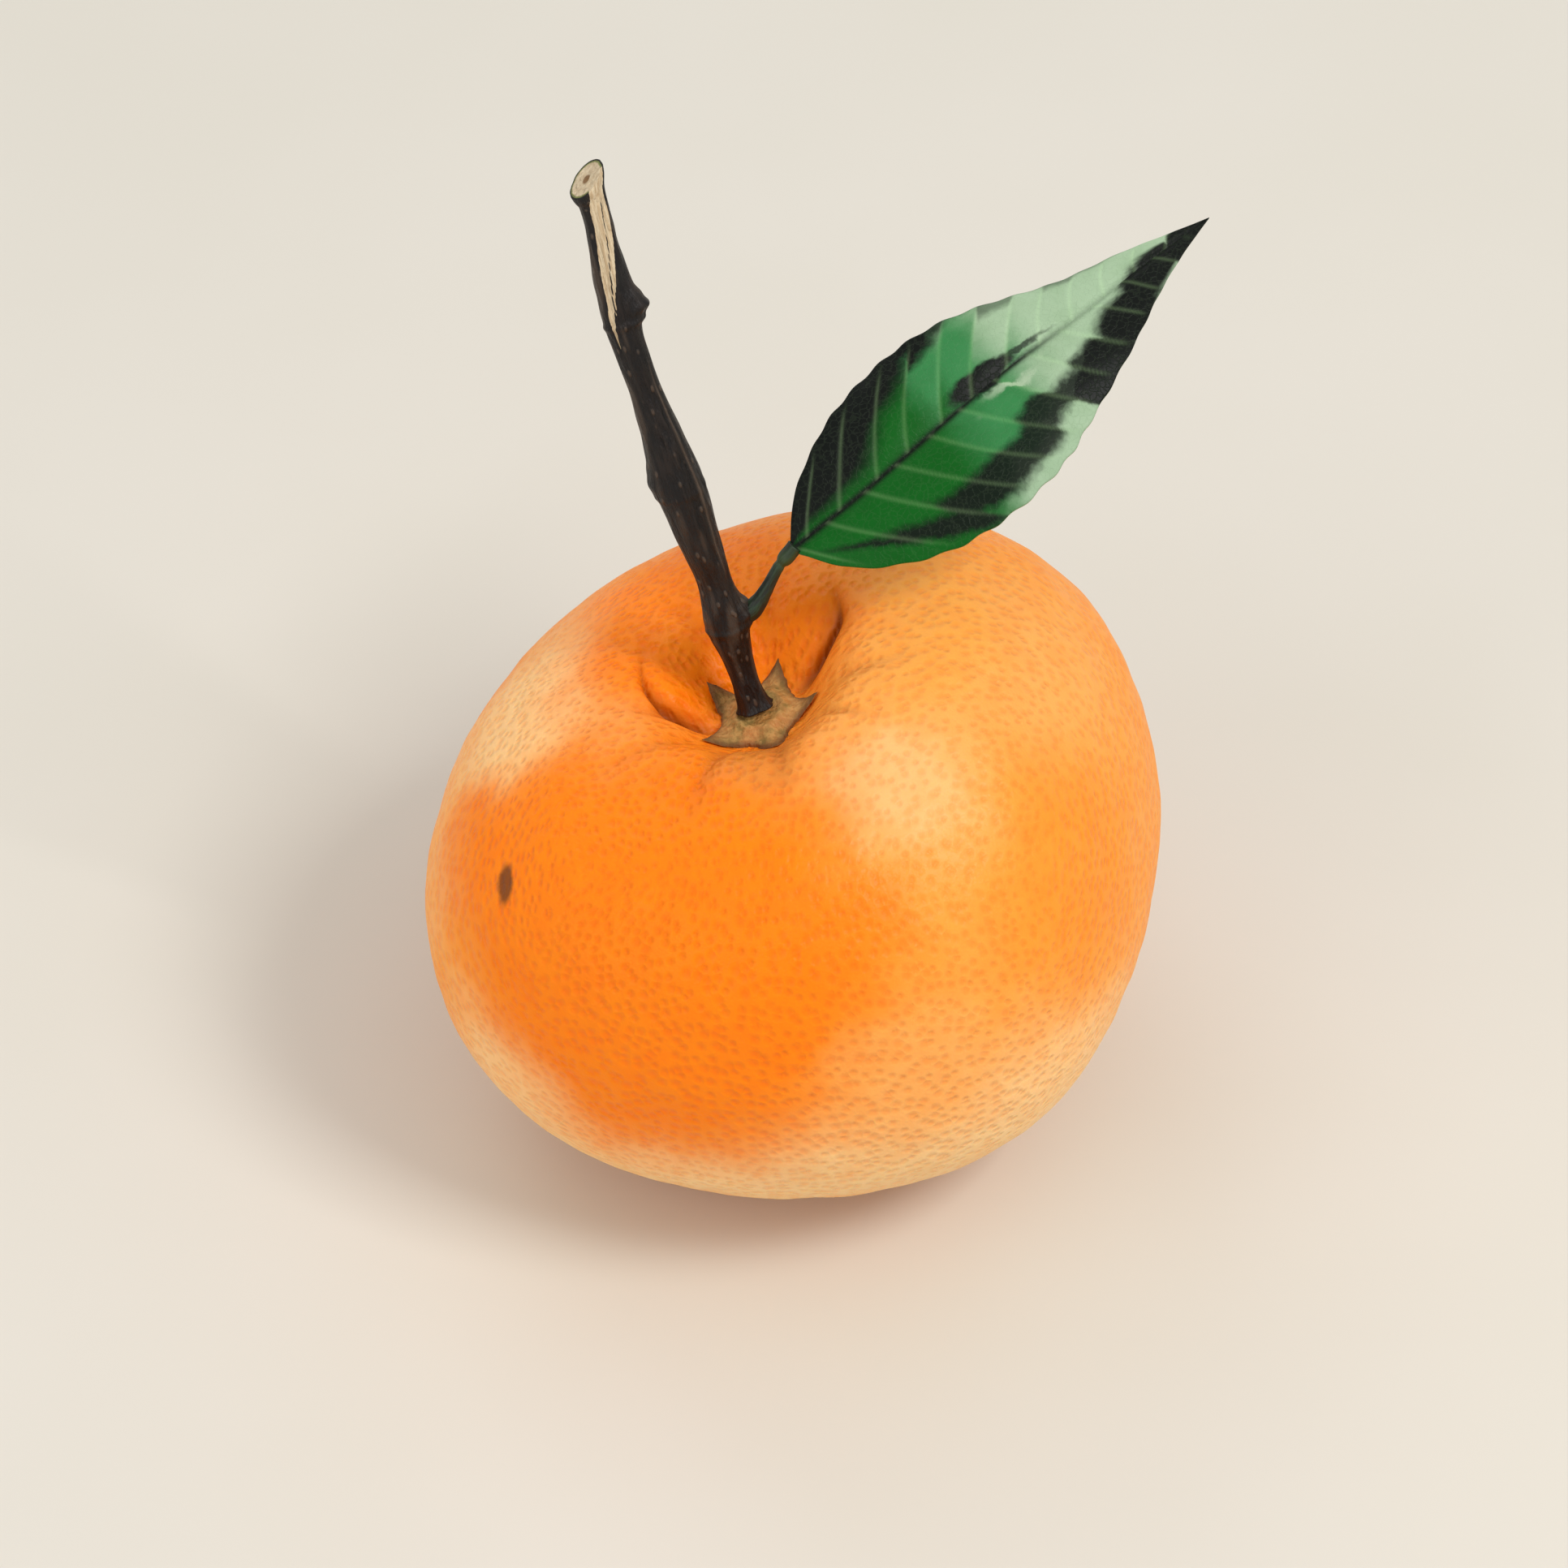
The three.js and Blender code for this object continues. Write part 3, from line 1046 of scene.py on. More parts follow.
@dataclass(frozen=True)
class LeafFinish:
    """The blade: deep green by the stalk, pale sage towards the tip, with dark margins that are both dark
    variegation and painted shade of the curled rims.
    """

    ground: Colour = LEAF_SAGE
    under: Colour = srgb(128, 160, 104)
    fleck: Colour = srgb(176, 200, 168)
    vein_glow: Colour = srgb(84, 104, 72)
    size: Triple = (50, 10, 0)  # the blade's length and half width, near enough for the patterns
    coarse_wander: Pair = (4, 0.5)  # length of a bend in a wash's edge, and how far it reaches
    fine_wander: Pair = (0.7, 0.22)
    sector_step: Pair = (0.03, 0.12)  # how far the washes step from field to field between veins
    mottle_size: float = 2.5
    mottle_span: Pair = (0.35, 0.7)
    mottle_strength: float = 0.22
    rim_edge: Pair = (0.8, 0.98)  # shares of the half width over which the upper rim darkens, partly as painted shade of its curl
    rim_fade: Ramp = (0.42, 0.6, 0.96, 0.55)
    band_out: Ramp = (0.05, 0.32, -0.58, -0.83)  # how the lower half's dark band runs outwards, partly painted shade inside the rolled rim
    band_back: Ramp = (0.34, 0.5, 0, 0.12)  # and then back
    band_half: Ramp = (0.08, 0.34, 0.03, 0.16)
    band_edge: Ramp = (-0.05, 0.09, 0.96, 0)
    band_from: Pair = (0.0, 0.1)
    line_fade: Ramp = (0.5, 0.66, 1, 0.3)  # how the dark line along the midrib fades: its own dark green, and painted shade in its groove
    net_size: float = 0.62
    net_wander: Pair = (0.8, 0.2)
    net_width: float = 0.1  # as a share of that size
    net_glow: float = 0.07
    net_depth: float = 0.6  # as a share of the height of the grain
    vein_strength: float = 0.5
    under_span: Pair = (-0.6, 0.2)  # from wholly the underside to wholly the upper side
    under_strength: float = 0.7
    grain_size: float = 0.5
    roughness: Pair = (0.65, 0.44)  # of the underside and of the upper side
    bump_depth: float = 0.03
    washes: tuple[Wash, ...] = (
        Wash((0.34, 0.0), (0.20, 1.7), 1, 0.45, LEAF_MIDDLE),
        Wash((0.12, -0.3), (0.25, 1.7), 1, 0.4, LEAF_DEEP),
        Wash((0.24, 0.2), (0.12, 0.8), 0.9, 0.4, LEAF_DEEP),
        # painted highlight: a pale streak just below the midrib
        Wash((0.46, -0.25), (0.08, 0.07), 0.55, 0.6, LEAF_PAINTED_HIGHLIGHT),
        Wash((0.44, -1.12), (0.15, 0.36), 0.95, 0.4, LEAF_SAGE),
    )
    # dark patches along the margins and at the tip: dark variegation, and painted shade of the curled rims
    shades: tuple[Wash, ...] = (
        Wash((0.10, 0.78), (0.18, 0.80), 1, 0.3),
        Wash((0.21, 1.02), (0.17, 0.74), 1, 0.3),
        Wash((0.34, 1.06), (0.14, 0.38), 1, 0.3),
        Wash((0.62, -0.90), (0.10, 0.46), 1, 0.3),
        Wash((0.74, -0.66), (0.10, 0.58), 1, 0.3),
        Wash((0.84, -0.35), (0.10, 0.75), 1, 0.3),
        Wash((0.99, 0.0), (0.13, 1.9), 1, 0.25),
    )
    # where the dark midrib line swells out: dark green, and painted shade in its groove
    swelling: tuple[Wash, ...] = (
        Wash((0.45, 0.11), (0.085, 0.17), 1, 0.35),
        Wash((0.53, 0.13), (0.09, 0.06), 0.85, 0.6),
    )

    def material(self) -> bpy.types.Material:
        """Makes the material.

        Returns:
            The blade's material.
        """
        tree = Tree("leaf")
        place = tree.place()
        plain = tree.plain()
        wandering = tree.wander(tree.moved(plain, self.size), *self.coarse_wander)
        wandering = tree.wander(wandering, *self.fine_wander)
        length, width, _ = self.size
        blade = tree.moved(wandering, (1 / length, 1 / width, 0))
        along, side, _ = tree.parts(blade)
        sector = tree.sum(Sum.LESS, tree.mark(Mark.SECTOR), 0.5)
        forward, outward = self.sector_step
        stepped = tree.joined(
            tree.plus(along, tree.times(sector, forward)),
            tree.plus(side, tree.times(sector, outward)),
        )
        colour: Shade = self.ground
        for wash in self.washes:
            colour = tree.mix(wash.share(tree, stepped), colour, wash.colour)
        mottle = tree.span(tree.noise(place, self.mottle_size, 4), *self.mottle_span)
        mottle = tree.times(mottle, self.mottle_strength)
        colour = tree.mix(mottle, colour, self.fleck, Blend.TINT)
        dark = self.margin(tree, stepped)
        for wash in self.shades:
            dark = tree.larger(dark, wash.share(tree, stepped))
        for wash in self.swelling:
            dark = tree.larger(dark, wash.share(tree, blade))
        rib = tree.mark(Mark.RIB_LINE_SHADE)
        line = tree.times(rib, tree.span(along, *self.line_fade), clamp=True)
        colour = tree.mix(tree.larger(dark, line), colour, LEAF_DARK)
        net = tree.cells(tree.wander(place, *self.net_wander), self.net_size, Cell.EDGE)
        net = tree.span(net, 0, self.net_width, 1, 0)
        colour = tree.mix(tree.times(net, self.net_glow), colour, self.vein_glow, Blend.GLOW)
        veins = tree.times(tree.mark(Mark.VEIN), self.vein_strength)
        colour = tree.mix(veins, colour, self.vein_glow, Blend.GLOW)
        through = tree.parts(plain)[2]
        below = tree.span(through, *self.under_span, self.under_strength, 0)
        colour = tree.mix(below, colour, self.under)
        grain = tree.noise(place, self.grain_size)
        height = tree.sum(Sum.LESS, grain, tree.times(net, self.net_depth))
        return tree.give(
            Base_Color=colour,
            Roughness=tree.span(through, *self.under_span, *self.roughness),
            Specular_IOR_Level=0.16,
            Normal=tree.bump(height, self.bump_depth),
        )

    def margin(self, tree: Tree, blade: Socket) -> Socket:
        """Finds how dark the margin is at a point, from dark variegation and painted shade of the curled
        rims.

        Args:
            tree: The material's tree.
            blade: The point, as its share of the length and of the half width.

        Returns:
            A share from 0 to 1.
        """
        along, side, _ = tree.parts(blade)
        rim = tree.span(side, *self.rim_edge)
        upper = tree.times(rim, tree.span(along, *self.rim_fade))
        path = tree.span(along, *self.band_out)
        path = tree.plus(path, tree.span(along, *self.band_back))
        away = tree.sum(Sum.SIZE, tree.sum(Sum.LESS, side, path))
        half = tree.span(along, *self.band_half)
        lower = tree.span(tree.sum(Sum.LESS, away, half), *self.band_edge)
        lower = tree.times(lower, tree.span(along, *self.band_from))
        return tree.larger(upper, lower)


@dataclass(frozen=True)
class FloorFinish:
    """Plain, matte, pale board with the faintest unevenness of tone."""

    light: Colour = srgb(220, 216, 207)
    shade: Colour = srgb(218, 214, 204)
    tone_size: float = 60.0

    def material(self) -> bpy.types.Material:
        """Makes the material.

        Returns:
            The floor's material.
        """
        tree = Tree("floor")
        tone = tree.span(tree.noise(tree.place(), self.tone_size, 3), *SOFT_NOISE)
        return tree.give(
            Base_Color=tree.mix(tone, self.light, self.shade), Roughness=0.9, Specular_IOR_Level=0.2
        )


# ---------------- pieces


@dataclass
class Piece:
    """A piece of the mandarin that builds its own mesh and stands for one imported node."""

    name: str = ""
    node: str = ""
    slot: str = ""

    def shape(self) -> bmesh.types.BMesh:
        """Makes the piece's mesh where it lies, in millimetres."""
        raise NotImplementedError

    def finish(self) -> bpy.types.Material:
        """Makes the piece's material."""
        raise NotImplementedError

    def build(self) -> bpy.types.Object:
        """Makes the piece, dresses it, ties it to the body, and hides the node it stands for.

        Returns:
            The finished object, at the origin, with its place in its mesh.
        """
        skin = self.shape()
        for face in skin.faces:
            face.smooth = True
        bmesh.ops.scale(skin, vec=(MM, MM, MM), verts=skin.verts)
        bmesh.ops.recalc_face_normals(skin, faces=skin.faces)
        mesh = bpy.data.meshes.new(self.name)
        skin.to_mesh(mesh)
        skin.free()
        piece = bpy.data.objects.new(self.name, mesh)
        bpy.context.scene.collection.objects.link(piece)
        mesh.materials.append(self.finish())
        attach(piece, BODY)
        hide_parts(self.node)
        LOG.info("%s: %d faces", self.name, len(mesh.polygons))
        return piece


@dataclass(frozen=True)
class Wave:
    """A wave round the girth, which swells the fruit a number of times on the way round."""

    lobes: int
    size: float  # share of the radius
    at: float  # the way that one of its swellings faces, in degrees


@dataclass(frozen=True)
class Growth:
    """How the even, upright fruit is carried to the lopsided one that leans on its flat spot."""

    below: float = 26.4  # height of the even fruit below its girth
    above: float = 26.3
    waves: tuple[Wave, ...] = (Wave(2, 0.035, 57), Wave(3, 0.02, 61), Wave(4, 0.015, 34))
    slope: float = 0.13  # how much higher the shoulder is on one side, in a millimetre across
    slope_towards: float = -29
    shift: Triple = (-2.1, -2.1, 0)  # of the top, sideways over the bottom
    lean_left: float = 7.5
    lean_forward: float = 3.8
    centre: Triple = (3.95, 1.85, 25.89)  # where the middle of the girth lies

    @cached_property
    def lie(self) -> Matrix:
        """Works out the turn and the move that lay the fruit on its flat spot.

        Returns:
            The two together.
        """
        left = Matrix.Rotation(math.radians(self.lean_left), 4, Vector((0, -1, 0)))
        forward = Matrix.Rotation(math.radians(self.lean_forward), 4, Vector((1, 0, 0)))
        return Matrix.Translation(self.centre) @ forward @ left

    def carry(self, point: Vector) -> Vector:
        """Carries a point of the even fruit to where it lies.

        Args:
            point: The point on the even fruit.

        Returns:
            Where it lies.
        """
        turn = math.degrees(math.atan2(point.y, point.x))
        swell = 1.0
        for wave in self.waves:
            swell += wave.size * math.cos(math.radians(wave.lobes * (turn - wave.at)))
        moved = Vector((point.x * swell, point.y * swell, point.z))
        rise = ease(point.z, -self.below, self.above)
        towards = math.radians(self.slope_towards)
        moved.z += self.slope * rise * (moved.x * math.cos(towards) + moved.y * math.sin(towards))
        return self.lie @ (moved + Vector(self.shift) * rise)


@dataclass(frozen=True)
class Pleat:
    """A groove that runs out from the calyx over the shoulder of the even fruit."""

    at: float  # the way it faces where it starts, in degrees
    bend: float  # how far that has turned where it ends
    depth: float
    width: float
    start: float  # radius where it starts
    end: float  # radius where it ends

    def strength(self, radius: float, turn: float) -> float:
        """Finds how strong the groove is at a point.

        Args:
            radius: The point's distance from the axis.
            turn: The way the point faces, in degrees.

        Returns:
            A share from 0 to 1.
        """
        across = (radius - self.start) / (self.end - self.start)
        if not 0 < across < 1:
            return 0.0
        offset = math.radians(wrapped(turn - self.at - self.bend * across**3)) * radius
        return hill(offset, self.width) * math.sin(math.pi * across**0.7) ** 1.3

    def fold(self, strength: float) -> float:
        """Finds how much painted shade the groove gives a point, which is less in a wide groove."""
        return strength * self.depth * SHARP_SHADE_WIDTH / max(SHARP_SHADE_WIDTH, self.width)


@dataclass
class Fruit(Piece):
    """The fruit in its peel, from the flat spot up to the basin that the calyx sits in."""

    name: str = "mandarin_peel"
    node: str = "fruit"
    slot: str = "peel"
    growth: Growth = field(default_factory=Growth)
    radius: float = 35.0
    fullness: float = 0.6  # how boxy the outline is, from 0 to 1
    shoulder_radius: float = 12.0
    shoulder_ease: float = 0.62
    basin_depth: float = 5.6
    floor_radius: float = 3.4  # of the basin's floor
    floor_ease: float = 2.2
    floor_dish: float = 0.15
    floor_pulls: Pair = (2, 1)  # radii of the handles of the floor's curve
    steps: tuple[int, int, int, int] = (84, 72, 40, 6)  # along each curve of the outline
    sides: int = 420
    flat_blend: float = 0.35  # height over which the peel rounds into the flat spot
    swells: tuple[Lumps, ...] = (Lumps(0.34, 15, 3), Lumps(0.15, 4.8, 5), Lumps(0.08, 2.4, 8))
    swells_from: Pair = (3.6, 8)  # radii over which the calm round the calyx gives way to them
    ray_height: float = 0.16  # of the fine rays that run out of the basin
    ray_closeness: float = 3.4
    ray_run: float = 8.0
    ray_start: Pair = (4, 6)
    ray_end: Pair = (16, 9)
    dimple: Triple = (6.9, 6.5, 2.3)  # middle and reach of the hollow at the right of the basin
    dimple_depth: float = 0.6
    dimple_shade: float = 0.35  # how much painted shade the hollow gets, from 0 to 1
    scar: float = 0.9  # how brown the dry spot underneath is, from 0 to 1
    scar_edge: Pair = (1.5, 0.9)
    scar_ragged: Lumps = Lumps(0.25, 0.9, 0)
    scar_depth: float = 0.3
    scar_reach: float = 1.1
    pleats: tuple[Pleat, ...] = (
        Pleat(-4, 7, 0.4, 1.0, 5.6, 17),
        Pleat(37, 26, 0.9, 1.0, 3.6, 13.5),
        Pleat(37, 25, 0.6, 0.36, 3.6, 13.5),
        Pleat(82, -8, 0.45, 1.1, 5.5, 18),
        Pleat(121, 6, 0.4, 0.9, 5.6, 17),
        Pleat(150, -5, 0.35, 0.9, 6, 19),
        Pleat(187, -52, 0.9, 0.95, 3.6, 13.5),
        Pleat(187, -52, 0.8, 0.38, 3.6, 13.5),
        Pleat(189, -8, 0.35, 0.7, 6.0, 13.5),
        Pleat(215, -6, 0.4, 0.9, 5.6, 18),
        Pleat(248, 5, 0.5, 1.0, 5.2, 19),
        Pleat(284, -6, 0.45, 1.0, 5.4, 18),
        Pleat(325, 3, 0.35, 0.55, 6.5, 15),
    )

    @cached_property
    def outline(self) -> tuple[Bend, Bend, Bend, Bend]:
        """Lays out the even fruit's outline.

        Returns:
            The underside, the shoulder, the basin and the basin's floor.
        """
        below, above = self.growth.below, self.growth.above
        floor = above - self.basin_depth
        roll = self.shoulder_radius + self.shoulder_ease * (self.radius - self.shoulder_radius)
        lip = (self.shoulder_radius, above)
        seat = (self.floor_radius, floor)
        girth = (self.radius, 0)
        full = self.fullness
        inward = (self.shoulder_ease * lip[0], above)
        down = (seat[0] + self.floor_ease, floor)
        dish = floor - self.floor_dish
        outer, inner = self.floor_pulls
        under, shoulder, wall, base = self.steps
        return (
            Bend((0, -below), (full * self.radius, -below), (self.radius, -full * below), girth, under),
            Bend(girth, (self.radius, full * above), (roll, above), lip, shoulder),
            Bend(lip, inward, down, seat, wall),
            Bend(seat, (outer, floor), (inner, dish), (0, dish), base),
        )

    def basin_height(self, radius: float) -> float:
        """Finds the height of the basin's outline.

        Args:
            radius: Distance from the axis, within the shoulder.

        Returns:
            The height on the even fruit.
        """
        _, _, wall, floor = self.outline
        bend = wall if radius > self.floor_radius else floor
        low, high = 0.0, 1.0
        for _ in range(HALVINGS):
            middle = (low + high) / 2
            if bend.at(middle).x > radius:
                low = middle
            else:
                high = middle
        return bend.at(low).y

    def relief(self, point: Vector) -> tuple[float, float]:
        """Finds how uneven the peel is at a point of the even fruit.

        Args:
            point: The point.

        Returns:
            How far the peel stands out there, and how much painted shade its folds give it, from 0 to 1.
        """
        radius = math.hypot(point.x, point.y)
        turn = math.degrees(math.atan2(point.y, point.x))
        out = sum(swell.at(point) for swell in self.swells)
        if point.z < 0:
            return out, 0.0
        out *= ease(radius, *self.swells_from)
        ray = self.ray_height * rays(point, self.ray_closeness, self.ray_run)
        out += ray * ease(radius, *self.ray_start) * ease(radius, *self.ray_end)
        # fold gathers the painted shade of the pleats, which the peel's colour reads
        fold = 0.0
        for pleat in self.pleats:
            strength = pleat.strength(radius, turn)
            out -= pleat.depth * strength
            fold += pleat.fold(strength)
        across, deep, reach = self.dimple
        hollow = hill(math.hypot(point.x - across, point.y - deep), reach)
        return out - self.dimple_depth * hollow, min(1.0, fold + self.dimple_shade * hollow)

    def shape(self) -> bmesh.types.BMesh:
        """Spins the outline, roughens it, carries it to its place and flattens its spot.

        Returns:
            The peel's mesh.
        """
        skin = turned(self.outline, self.sides)
        plain = skin.verts.layers.float_vector.new(PLAIN)
        marks = layers(skin, Mark.PAINTED_CREASE_SHADE, Mark.SCAR)
        skin.normal_update()
        for vert in skin.verts:
            even = vert.co.copy()
            out, fold = self.relief(even)
            low = math.hypot(even.x, even.y) if even.z < 0 else self.radius
            brown = self.scar * ease(low + self.scar_ragged.at(even), *self.scar_edge)
            out -= self.scar_depth * hill(low, self.scar_reach)
            vert[plain] = even
            vert[marks[Mark.PAINTED_CREASE_SHADE]] = fold
            vert[marks[Mark.SCAR]] = brown
            moved = self.growth.carry(even + vert.normal * out)
            moved.z = self.flattened(moved.z)
            vert.co = moved
        return skin

    def flattened(self, height: float) -> float:
        """Rounds a height into the flat spot's plane.

        Args:
            height: Height above that plane.

        Returns:
            The height, which is never below the plane.
        """
        blend = self.flat_blend
        if height > blend:
            return height
        return max(0.0, height + blend) ** 2 / (4 * blend)

    def finish(self) -> bpy.types.Material:
        """Makes the peel's material."""
        return PeelFinish().material()


@dataclass
class Calyx(Piece):
    """The small dry star that holds the fruit to its twig, pressed to the basin's floor."""

    name: str = "calyx_star"
    node: str = "calyx"
    slot: str = "calyx"
    fruit: Fruit = field(default_factory=Fruit)
    radius: float = 4.8
    sepals: int = 5
    sepal_size: float = 0.24  # share of the radius
    sepal_spare: float = 0.07  # how much longer or shorter than the rest a sepal may be
    height: float = 1.4  # of the middle, above the basin's floor
    edge: float = 0.32  # height of the rim
    sunk: float = 0.08  # how far the underside is pressed into the peel
    collar_radius: float = 2.2
    collar_spread: float = 0.45
    collar: float = 0.32
    rib: float = 0.16  # height of the rib along each sepal
    ray_height: float = 0.09
    ray_closeness: float = 4.0
    ray_run: float = 3.0
    rim_rounding: Pair = (1.04, 0.9)  # shares of the way to the rim that its height fades over
    sepal_seed: Triple = (3.7, 2.2, 0)
    curl: float = 0.9  # how far a sepal's tip may lift off the peel
    curl_from: Pair = (0.55, 1.1)  # shares of the way to the rim that it lifts over
    curl_usual: float = 0.45  # share of the curl that a sepal has, give or take its own chance
    curl_least: float = 0.1
    curl_seed: Triple = (2.3, 5.1, 0.7)
    under_mark: float = 0.5  # how near the rim the underside is coloured as
    ragged: float = 0.05  # depth of the tears in the rim, as a share of the radius
    tears: Pair = (7, 19)  # how close together the coarse and the fine tears are
    sides: int = 260
    under_steps: int = 24
    over_steps: int = 56

    def star(self, turn: float) -> float:
        """Finds the star's reach.

        Args:
            turn: The way it is measured, in degrees.

        Returns:
            The reach, as a share of the radius.
        """
        longer = 1 + self.sepal_spare * self.chance(turn, Vector(self.sepal_seed))
        notch = abs(math.sin(math.radians(self.sepals * turn / 2)))
        way = Vector((math.cos(math.radians(turn)), math.sin(math.radians(turn)), 0))
        coarse, fine = self.tears
        torn = self.ragged * (noise.noise(way * coarse) + 0.5 * noise.noise(way * fine))
        return longer * (1 + self.sepal_size * (1 - 2 * notch**0.8)) + torn

    def chance(self, turn: float, spot: Vector) -> float:
        """Picks a number from about -1 to 1 for the sepal that faces a turn, by noise near a spot."""
        index = round(turn / 360 * self.sepals) % self.sepals
        return noise.noise(Vector((index * spot.x, spot.y, spot.z)))

    def lifted(self, across: float, turn: float) -> float:
        """Finds how far a dry sepal has curled up off the peel.

        Args:
            across: Share of the way from the middle to the rim.
            turn: The way the point faces, in degrees.

        Returns:
            The height, which is most at the sepal's tip and nothing between two sepals.
        """
        own = max(self.curl_least, self.curl_usual + self.chance(turn, Vector(self.curl_seed)))
        sepal = math.cos(math.radians(self.sepals * turn / 2)) ** 2
        return self.curl * own * sepal * ease(across, *self.curl_from) ** 1.5

    def top(self, across: float, turn: float, point: Vector) -> float:
        """Finds how high the upper side stands above the peel.

        Args:
            across: Share of the way from the middle to the rim.
            turn: The way the point faces, in degrees.
            point: The point on the even fruit.

        Returns:
            The height.
        """
        ridge = abs(math.cos(math.radians(self.sepals * turn / 2))) ** 5
        reach = math.hypot(point.x, point.y)
        ray = self.ray_height * rays(point, self.ray_closeness, self.ray_run)
        lift = self.edge + (self.height - self.edge) * (1 - across**1.6) ** 1.2
        lift += self.collar * hill(reach - self.collar_radius, self.collar_spread)
        lift += self.rib * ridge * math.sin(math.pi * across)
        lift += ray * math.sin(math.pi * across) ** 0.5
        return lift * ease(across, *self.rim_rounding)

    def shape(self) -> bmesh.types.BMesh:
        """Spins a flat lens and shapes it into the star on the basin's floor.

        Returns:
            The calyx's mesh.
        """
        under = Bend((0, 0), (1 / 3, 0), (2 / 3, 0), (1, 0), self.under_steps)
        over = Bend((1, 0), (1, 0.4), (0.7, 1), (0, 1), self.over_steps)
        skin = turned((under, over), self.sides)
        plain = skin.verts.layers.float_vector.new(PLAIN)
        rim = layers(skin, Mark.RIM)[Mark.RIM]
        for vert in skin.verts:
            across = min(1.0, math.hypot(vert.co.x, vert.co.y))
            turn = math.degrees(math.atan2(vert.co.y, vert.co.x))
            reach = self.radius * across * (1 + (self.star(turn) - 1) * across**2)
            way = math.radians(turn)
            point = Vector((reach * math.cos(way), reach * math.sin(way), 0))
            above = vert.co.z > 0 and across < 1
            lift = self.top(across, turn, point) if above else 0.0
            lift += self.lifted(across, turn)
            point.z = self.fruit.basin_height(reach) + lift - self.sunk
            vert[plain] = point
            vert[rim] = across if above or across == 1 else self.under_mark
            vert.co = self.fruit.growth.carry(point)
        return skin

    def finish(self) -> bpy.types.Material:
        """Makes the calyx's material."""
        return CalyxFinish().material()


@dataclass(frozen=True)
class Bud:
    """A swelling on one side of the twig, with a small dormant bud at its top."""

    along: float  # share of the twig's length
    at: float  # the way it faces, in degrees
    size: float  # in millimetres
    spread: float  # share of the twig's length
    scales: float = 7.0  # how close together its scales are
    scale_height: float = 0.09  # as a share of the swelling's own
    ring_height: float = 0.12  # of the old scar below it, as a share of its size
    ring_below: float = 0.9  # how far below the scar is, as a share of the spread
    ring_spread: float = 0.006

    def swelling(self, along: float, turn: float) -> float:
        """Finds how far the swelling and its scales stand out.

        Args:
            along: Share of the twig's length.
            turn: The way the point faces, in degrees.

        Returns:
            The height, in millimetres.
        """
        facing = max(0.0, math.cos(math.radians(turn - self.at))) ** 3
        height = self.size * facing * hill(along - self.along, self.spread)
        scales = math.cos((along - self.along) / self.spread * self.scales)
        return height * (1 + self.scale_height * scales)

    def ring(self, along: float) -> float:
        """Finds how far the old scar below the swelling stands out, all the way round the twig."""
        offset = along - self.along + self.ring_below * self.spread
        return self.ring_height * hill(offset, self.ring_spread) * self.size


@dataclass(frozen=True)
class Band:
    """A smooth band that goes all the way round a rod."""

    along: float
    spread: float
    height: float

    def at(self, along: float) -> float:
        """Gives how strong the band is at a share of the rod's length."""
        return self.height * hill(along - self.along, self.spread)


@dataclass(frozen=True)
class RodSpot:
    """A point of a straight rod."""

    along: float  # share of the length
    across: float  # share of the radius
    turn: float  # the way it faces, in degrees: 0 is right and 90 is in front
    plain: Vector  # where it is, in millimetres


@dataclass
class Rod(Piece):
    """A rod bent along its stations, each of which is (x, y, z, radius)."""

    stations: tuple[Station, ...] = ()
    sides: int = 72
    rings: int = 480
    end_rings: int = 8
    grain: float = 1.0  # how fast its ridges change along it, as a share of how they do across

    @cached_property
    def route(self) -> Route:
        """The route through the stations, which carries the radius as a fourth number."""
        return Route(self.stations)

    def relief(self, spot: RodSpot) -> float:
        """Finds how far the surface stands out at a spot."""
        raise NotImplementedError

    def slide(self, spot: RodSpot) -> float:
        """Finds how far a spot moves along the rod, to shape its ends."""
        raise NotImplementedError

    def marks(self, spot: RodSpot) -> dict[Mark, float]:
        """Finds the numbers that the material reads at a spot."""
        raise NotImplementedError

    def stretched(self, spot: RodSpot) -> Vector:
        """Gives the point where noise is read for ridges that run along the rod."""
        return Vector((spot.plain.x, spot.plain.y, spot.plain.z * self.grain))

    def shape(self) -> bmesh.types.BMesh:
        """Bends a straight rod along its stations.

        Returns:
            The rod's mesh.
        """
        skin = rod(self.sides, self.rings, self.end_rings)
        length = Route(tuple(station[:3] for station in self.stations)).lengths[-1]
        marks = layers(skin, *self.marks(RodSpot(0, 0, 0, Vector())))
        straight = skin.verts.layers.float_vector.new(PLAIN)
        for vert in skin.verts:
            along, across = vert.co.z, min(1.0, math.hypot(vert.co.x, vert.co.y))
            turn = math.degrees(math.atan2(-vert.co.y, vert.co.x))
            station = self.route.at(along)
            heading = self.route.heading(along).xyz.normalized()
            way = math.radians(turn)
            plain = Vector((math.cos(way), math.sin(way), 0)) * across * station.w
            plain.z = along * length
            spot = RodSpot(along, across, turn, plain)
            reach = across * (station.w + self.relief(spot))
            right = (Vector((1, 0, 0)) - heading * heading.x).normalized()
            front = right.cross(heading)
            vert[straight] = plain
            for mark, value in self.marks(spot).items():
                vert[marks[mark]] = value
            vert.co = (
                station.xyz
                + right * (reach * math.cos(way))
                + front * (reach * math.sin(way))
                + heading * self.slide(spot)
            )
        return skin


